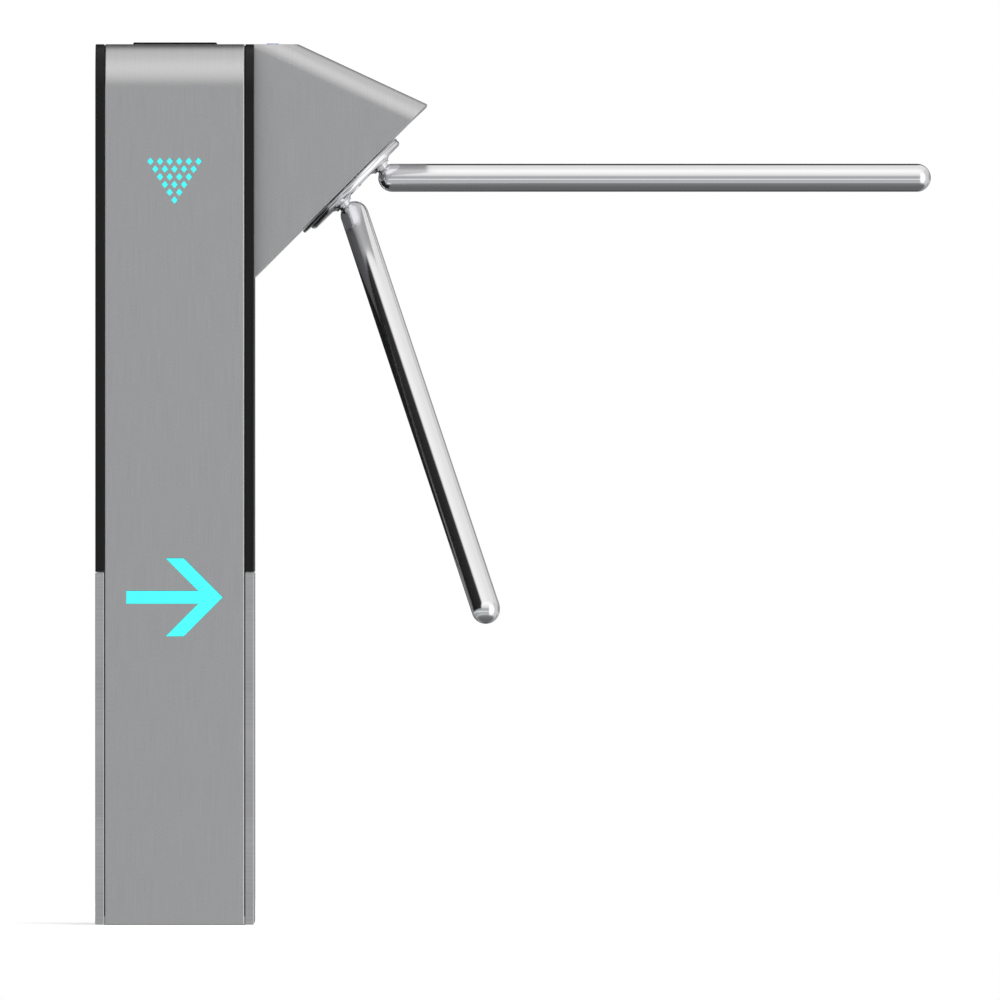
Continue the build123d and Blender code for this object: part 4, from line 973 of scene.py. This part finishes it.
def flange_mesh(settings, matrix):
    """The flange's straight side and its rounded bevel, closed below and above, as a bmesh."""
    bevel, top = settings.flange_bevel, settings.flange_top
    near, far = 0.12 * bevel, 0.6 * bevel
    levels = ((0, settings.disc_top), (0, top - bevel), (near, top - far), (far, top - near), (bevel, top))
    bm = bmesh.new()
    loops = []
    for inset, height in levels:
        outline = flange_outline(settings, inset, settings.steps // settings.arm_count)
        loops.append([bm.verts.new(matrix @ Vector((x, y, height))) for x, y in outline])
    for below, above in zip(loops, loops[1:]):
        for i in range(len(below)):
            j = (i + 1) % len(below)
            bm.faces.new((below[i], below[j], above[j], above[i]))
    bm.faces.new(loops[0])
    bm.faces.new(loops[-1])
    return bm


def disc_profile(settings):
    """Half section of the base disc: a small round below and a larger one above."""
    r, low, top = settings.disc_r, settings.gap, settings.disc_top
    under, over = 0.5 * MM, settings.disc_round
    return [
        (0, low), (r - under, low), *arc((r - under, low + under), under, -pi / 2, 0, 3),
        *arc((r - over, top - over), over, 0, pi / 2, 6), (0, top),
    ]


def cap_profile(settings):
    """Half section of the cap over the hub's screw."""
    r, edge = settings.cap_r, settings.cap_round
    foot, top = settings.flange_top - settings.sunk, settings.flange_top + settings.cap_thick
    return [(0, foot), (r, foot), *arc((r - edge, top - edge), edge, 0, pi / 2, 5), (0, top)]


def collar_profile(settings):
    """Half section of one arm's collar: cone, straight land and the neck up into the arm."""
    base = settings.flange_top
    cone = base + settings.seat_rise
    land = cone + settings.seat_land
    end = land + settings.neck_rise + settings.neck_sunk
    wide, narrow, neck = settings.seat_base_r, settings.seat_top_r, settings.neck_r
    lip, ease_below, ease_above = 0.2 * MM, 0.15 * MM, 0.1 * MM
    edge, fillet = 0.4 * MM, 0.3 * MM
    return [
        (0, base - settings.sunk), (wide, base - settings.sunk), (wide, base + lip),
        (narrow + ease_below, cone - ease_below), (narrow, cone + ease_above),
        *arc((narrow - edge, land - edge), edge, 0, pi / 2, 4),
        (neck + fillet, land), (neck, land + fillet), (neck, end), (0, end),
    ]


def turned_piece(name, node, profile, matrices, steps):
    """A polished piece of the rotor, turned to one profile at each matrix."""
    bm = bmesh.new()
    for matrix in matrices:
        lathe(bm, profile, matrix, steps)
    fit_out(finish_mesh(bm, name), "rotor", "polished_stainless", node)


class TURNSTILE_OT_hub(bpy.types.Operator):
    """Polished base disc, rounded-triangle flange, cap and the arms' collars"""

    bl_idname = "turnstile.hub"
    bl_label = "Hub"

    def execute(self, context):
        settings = context.scene.turnstile_rotor
        hub = hub_matrix()
        steps = settings.steps
        turned_piece("hub_disc", "hub_base_disc", disc_profile(settings), [hub], 2 * steps)
        flange = finish_mesh(flange_mesh(settings, hub), "hub_triangle", sharp_past=24)
        fit_out(flange, "rotor", "polished_stainless", "hub_flange")
        turned_piece("hub_centre_cap", "hub_cap", cap_profile(settings), [hub], steps)
        out = Matrix.Translation((settings.arm_root * sin(settings.arm_angle), 0, 0))
        roots = [hub @ share_of_turn(index, settings) @ out for index in range(settings.arm_count)]
        turned_piece("arm_collars", "arm_studs", collar_profile(settings), roots, steps)
        return {"FINISHED"}


class TURNSTILE_OT_arms(bpy.types.Operator):
    """Three polished tubes with domed ends"""

    bl_idname = "turnstile.arms"
    bl_label = "Arms"

    def execute(self, context):
        settings = context.scene.turnstile_rotor
        hub = hub_matrix()
        neck = settings.flange_top + settings.seat_rise + settings.seat_land + settings.neck_rise
        outward = (hub.to_3x3() @ Vector((0, 0, 1))).normalized()
        r, root, tip = settings.arm_r, settings.arm_root, settings.arm_tip
        bands, dome = settings.arm_bands, settings.dome_steps
        profile = [
            *arc((0, root), r, -pi / 2, 0, dome),
            *[(r, root + (tip - root) * i / bands) for i in range(1, bands)],
            *arc((0, tip), r, 0, pi / 2, dome),
        ]
        for index in range(settings.arm_count):
            bm = bmesh.new()
            lathe(bm, profile, arm_matrix(index, settings), settings.steps)
            bmesh.ops.remove_doubles(bm, verts=bm.verts, dist=MERGE)
            rim = cut_across(bm, hub @ Vector((0, 0, neck)), -outward, drop=True)
            if rim:
                bmesh.ops.contextual_create(bm, geom=rim)
            nodes = [f"arm_tube_{index + 1}"] + (["arm_roots", "arm_tips"] if index == 0 else [])
            fit_out(finish_mesh(bm, f"arm_{index + 1}"), "rotor", "polished_stainless", *nodes)
        return {"FINISHED"}


# ---- service side ----
def screw_tree():
    """Pan-head screws at the points of a mesh, each with a hexagon socket half as deep as its head."""
    sizes = dict.fromkeys(("Head radius", "Head height", "Socket radius"), "Float")
    tree, given = start_tree("screw_heads", {**sizes, "Rotation": "Vector"})
    head, hexagon = (
        add(tree, "GeometryNodeMeshCylinder", {
            "Vertices": sides, "Radius": given[radius], "Depth": given["Head height"],
        }).outputs["Mesh"]
        for sides, radius in ((32, "Head radius"), (6, "Socket radius"))
    )
    raised = add(tree, "ShaderNodeMath", {0: given["Head height"], 1: 0.5}, operation="MULTIPLY").outputs[0]
    lift = add(tree, "ShaderNodeCombineXYZ", {"Z": raised}).outputs[0]
    tool = add(tree, "GeometryNodeTransform", {"Geometry": hexagon, "Translation": lift}).outputs[0]
    screw = add(tree, "GeometryNodeMeshBoolean", {"Mesh 1": head, "Mesh 2": tool}, operation="DIFFERENCE")
    instances = add(tree, "GeometryNodeInstanceOnPoints", {
        "Points": given["Geometry"], "Instance": screw.outputs["Mesh"], "Rotation": given["Rotation"],
    })
    return end_tree(tree, given, instances)


class TURNSTILE_OT_service_side(bpy.types.Operator):
    """Service door, hinges with their screws, and the lock"""

    bl_idname = "turnstile.service_side"
    bl_label = "Service side"

    def execute(self, context):
        for node, name, body, slot in (
            ("service_door", "door_leaf", "door", "brushed_stainless"),
            ("hinge_fixed_leaves", "hinges_fixed", "post", "brushed_stainless"),
            ("hinge_pins", "hinges_pins", "post", "polished_stainless"),
            ("lock_barrel", "lock_body", "door", "zinc_steel"),
            ("lock_cam", "lock_plug", "door_lock", "polished_stainless"),
        ):
            fit_out(refined_copy(node, name), body, slot, node)
        settings = context.scene.turnstile_service
        low, high = box_of("hinge_fixed_leaves")
        axis = Vector(joint_of("door_swing")["pos_m"])
        face = box_of("casing_wrap")[1].y + settings.leaf + settings.head_lift
        reach = axis.x - low.x - settings.inset
        pairs = (low.z + settings.from_end, high.z - settings.from_end)
        heights = [z + side * settings.half_pitch for z in pairs for side in (-1, 1)]
        tree = screw_tree()
        backwards = (-pi / 2, 0, 0)
        for body, side in (("post", -1), ("door", 1)):
            places = [(axis.x + side * reach, face, z) for z in heights]
            piece = grown(f"hinge_screws_{body}", tree, {
                "Head radius": settings.head_r, "Head height": settings.head_height,
                "Socket radius": settings.socket_r, "Rotation": backwards, "Finish": FINISHES["zinc_steel"],
            }, places)
            fit_out(piece, body, "zinc_steel")
        return {"FINISHED"}


class TURNSTILE_OT_mechanism(bpy.types.Operator):
    """Round pieces of the mechanism and the foot, with smooth faces"""

    bl_idname = "turnstile.mechanism"
    bl_label = "Mechanism"

    def execute(self, context):
        slots = {row["node"]: row["material_slot"] for row in frame["record"]["subparts"]}
        bodies = {n: body for body, nodes in frame["record"]["behaviour"]["bodies"].items() for n in nodes}
        for node in (
            "bearing_housing", "bearing_outer_rings", "bearing_inner_rings", "bearing_balls", "main_shaft",
            "damper_body", "drive_gear", "damper_pinion", "encoder_disc", "pawl_posts", "pawl_springs",
            "plunger_front", "plunger_rear", "cable_grommet",
        ):
            fit_out(refined_copy(node, f"{node}_finished"), bodies[node], slots[node], node)
        return {"FINISHED"}


# ---- stage ----
# How bright the tent is from straight down (0) to straight up (1): dark floor, a low strip light, a dim
# wall with a narrow lamp just under the middle, then brighter and brighter up to the ceiling.
TENT_BY_HEIGHT = (
    (0.00, 0.155), (0.05, 0.165), (0.10, 0.185), (0.135, 0.24), (0.165, 0.30), (0.19, 0.54), (0.215, 0.54),
    (0.245, 0.39), (0.32, 0.42), (0.35, 0.48), (0.375, 0.82), (0.395, 0.82), (0.42, 0.48), (0.50, 0.37),
    (0.58, 0.40), (0.62, 0.53), (0.667, 0.69), (0.76, 0.82), (0.90, 0.97), (1.00, 0.96),
)
# Zones of the tent. Each fades from one value to another between two places along a direction.
TENT_ZONES = (
    ("flag side", "turned", -0.48, -0.26, 0.97, 0.0),  # a black flag hangs far to the left
    ("flag height", "slant", -0.15, 0.03, 0.0, 1.0),
    ("back side", "past", 0.34, 0.78, 0.0, 0.98),  # dark behind, above and well below the middle
    ("back above", "Z", 0.05, 0.25, 0.0, 1.0),
    ("back below", "Z", -0.45, -0.20, 0.8, 0.0),
    ("front", "Y", -0.60, 0.10, 1.28, 1.0),  # brighter towards the front
    ("near", "Y", 0.25, 0.60, 1.0, 0.0),  # a white wall to the right
    ("level band", "level", 0.50, 0.75, 1.0, 0.0),
    ("right side", "X", 0.36, 0.56, 0.0, 1.0),
    ("glare", "Y", -0.45, -0.10, 1.35, 0.75),
    ("warmth", "Z", -0.10, 0.80, 0.0, 1.0),  # cool below, warm above
)
COOL = (0.975, 0.990, 1.0, 1)
WARM = (1.0, 0.985, 0.975, 1)
WHITE = (1, 1, 1, 1)


def studio_world():
    """White tent as metal sees it: bright overhead and to the right, dark far left, behind and below."""
    world = bpy.data.worlds.new("studio")
    bpy.context.scene.world = world
    world.use_nodes = True
    tree = world.node_tree
    tree.nodes.clear()
    direction = add(tree, "ShaderNodeTexCoord").outputs["Generated"]
    known = dict(add(tree, "ShaderNodeSeparateXYZ", {"Vector": direction}).outputs.items())
    maths = "ShaderNodeMath"
    work_out(tree, known, (
        ("aside", maths, "ABSOLUTE", "X"),
        ("level", maths, "ABSOLUTE", "Z"),
        ("slant", maths, "MULTIPLY_ADD", "Y", 0.3, "Z"),
        ("turned", maths, "MULTIPLY_ADD", "Y", -0.3, "X"),
        ("past", maths, "SUBTRACT", "Y", "aside"),
    ))
    for name, along, start, end, first, last in TENT_ZONES:
        span = {"From Min": start, "From Max": end, "To Min": first, "To Max": last, "Value": known[along]}
        zone = add(tree, "ShaderNodeMapRange", span, interpolation_type="SMOOTHSTEP")
        known[name] = zone.outputs["Result"]
    work_out(tree, known, (
        ("flag", maths, "MULTIPLY", "flag side", "flag height"),
        ("left", maths, "SUBTRACT", 1.0, "flag"),
        ("back heights", maths, "ADD", "back above", "back below"),
        ("dark", maths, "MULTIPLY", "back side", "back heights"),
        ("behind", maths, "SUBTRACT", 1.0, "dark"),
        ("round", maths, "MULTIPLY", "left", "behind"),
        ("shade", maths, "MULTIPLY", "round", "front"),
        ("near band", maths, "MULTIPLY", "near", "level band"),
        ("right", maths, "MULTIPLY", "right side", "near band"),
    ))
    height = add(tree, "ShaderNodeMapRange", {"From Min": -1.0, "From Max": 1.0, "Value": known["Z"]})
    sky = grey_ramp(tree, height.outputs["Result"], TENT_BY_HEIGHT)
    tone = add(tree, "ShaderNodeMix", {0: known["warmth"], 6: COOL, 7: WARM}, data_type="RGBA").outputs[2]
    tinted = add(
        tree, "ShaderNodeMix", {0: 1.0, 6: sky, 7: tone}, data_type="RGBA", blend_type="MULTIPLY"
    ).outputs[2]
    tent, side, white = (
        add(tree, "ShaderNodeBackground", {"Color": colour, "Strength": strength}).outputs[0]
        for colour, strength in ((tinted, known["shade"]), (WHITE, known["glare"]), (WHITE, 1.0))
    )
    studio = add(tree, "ShaderNodeMixShader", {0: known["right"], 1: tent, 2: side}).outputs[0]
    seen = add(tree, "ShaderNodeLightPath").outputs["Is Camera Ray"]
    whole = add(tree, "ShaderNodeMixShader", {0: seen, 1: studio, 2: white}).outputs[0]
    add(tree, "ShaderNodeOutputWorld", {"Surface": whole})


def lay_floor(size):
    """A white floor that glows a little, so that only the shadow shows on it."""
    corners = rectangle(-size / 2, -size / 2, size / 2, size / 2)
    floor = in_scene("floor", bpy.data.meshes.new("floor"))
    floor.data.from_pydata([(x, y, 0) for x, y in corners], [], [(0, 1, 2, 3)])
    glow = {"Specular IOR Level": 0.0, "Emission Color": WHITE, "Emission Strength": 0.45}
    floor.data.materials.append(start_material("painted_floor_white", linear("#F4F4F4"), 0.0, 0.8, glow)[0])
    floor.visible_glossy = False


# Name, place in metres, side in metres, power in watts.
SOFTBOXES = (
    ("key_softbox", (1.6, -3.2, 3.2), 2.4, 90),
    ("fill_softbox", (-2.6, -2.6, 1.8), 2.0, 30),
)
LIGHTS_AIM = Vector((0.2, 0, 0.5))


class TURNSTILE_OT_stage(bpy.types.Operator):
    """Pale floor, soft lights and the camera square to the front"""

    bl_idname = "turnstile.stage"
    bl_label = "Stage"

    def execute(self, context):
        settings = context.scene.turnstile_stage
        context.scene.view_settings.view_transform = "Standard"
        studio_world()
        lay_floor(settings.floor_size)
        for name, place, size, power in SOFTBOXES:
            light = bpy.data.lights.new(name, "AREA")
            light.size = size
            light.energy = power
            holder = in_scene(name, light)
            holder.location = place
            holder.rotation_euler = (LIGHTS_AIM - Vector(place)).to_track_quat("-Z", "Y").to_euler()
            holder.visible_glossy = False
        camera = bpy.data.cameras.new("camera")
        camera.lens = settings.lens
        camera.sensor_width = settings.sensor
        distance = settings.frame_width * settings.lens / settings.sensor
        camera.clip_end = 4 * distance
        plane = box_of("casing_wrap")[0].y * settings.frame_plane
        holder = in_scene("camera", camera)
        holder.location = (settings.aim_x, plane - distance, settings.aim_z)
        holder.rotation_euler = (pi / 2, 0, 0)
        context.scene.camera = holder
        return {"FINISHED"}


# ---- add-on ----
OPERATORS = (
    TURNSTILE_OT_finishes,
    TURNSTILE_OT_stage,
    TURNSTILE_OT_casing,
    TURNSTILE_OT_side_panels,
    TURNSTILE_OT_lights,
    TURNSTILE_OT_reader,
    TURNSTILE_OT_head,
    TURNSTILE_OT_hub,
    TURNSTILE_OT_arms,
    TURNSTILE_OT_service_side,
    TURNSTILE_OT_mechanism,
)
SETTINGS = {
    "turnstile_casing": CasingSettings,
    "turnstile_light": LightSettings,
    "turnstile_head": HeadSettings,
    "turnstile_rotor": RotorSettings,
    "turnstile_service": ServiceSettings,
    "turnstile_finish": FinishSettings,
    "turnstile_stage": StageSettings,
}


class TURNSTILE_PT_panel(bpy.types.Panel):
    """Lists the turnstile's settings and its builders"""

    bl_idname = "TURNSTILE_PT_panel"
    bl_label = "Turnstile"
    bl_space_type = "VIEW_3D"
    bl_region_type = "UI"
    bl_category = "Turnstile"

    def draw(self, context):
        for operator in OPERATORS:
            self.layout.operator(operator.bl_idname)
        for name, group in SETTINGS.items():
            section = self.layout.box()
            section.label(text=group.__doc__)
            for key in group.__annotations__:
                section.prop(getattr(context.scene, name), key)


def register():
    """Register the settings, the operators and the panel."""
    for name, group in SETTINGS.items():
        bpy.utils.register_class(group)
        setattr(bpy.types.Scene, name, PointerProperty(type=group))
    for operator in OPERATORS:
        bpy.utils.register_class(operator)
    bpy.utils.register_class(TURNSTILE_PT_panel)


def unregister():
    """Remove the panel, the operators and the settings."""
    bpy.utils.unregister_class(TURNSTILE_PT_panel)
    for operator in reversed(OPERATORS):
        bpy.utils.unregister_class(operator)
    for name, group in SETTINGS.items():
        delattr(bpy.types.Scene, name)
        bpy.utils.unregister_class(group)


def main():
    """Build everything in order."""
    register()
    for operator in OPERATORS:
        group, name = operator.bl_idname.split(".")
        getattr(getattr(bpy.ops, group), name)()


if __name__ == "__main__":
    main()
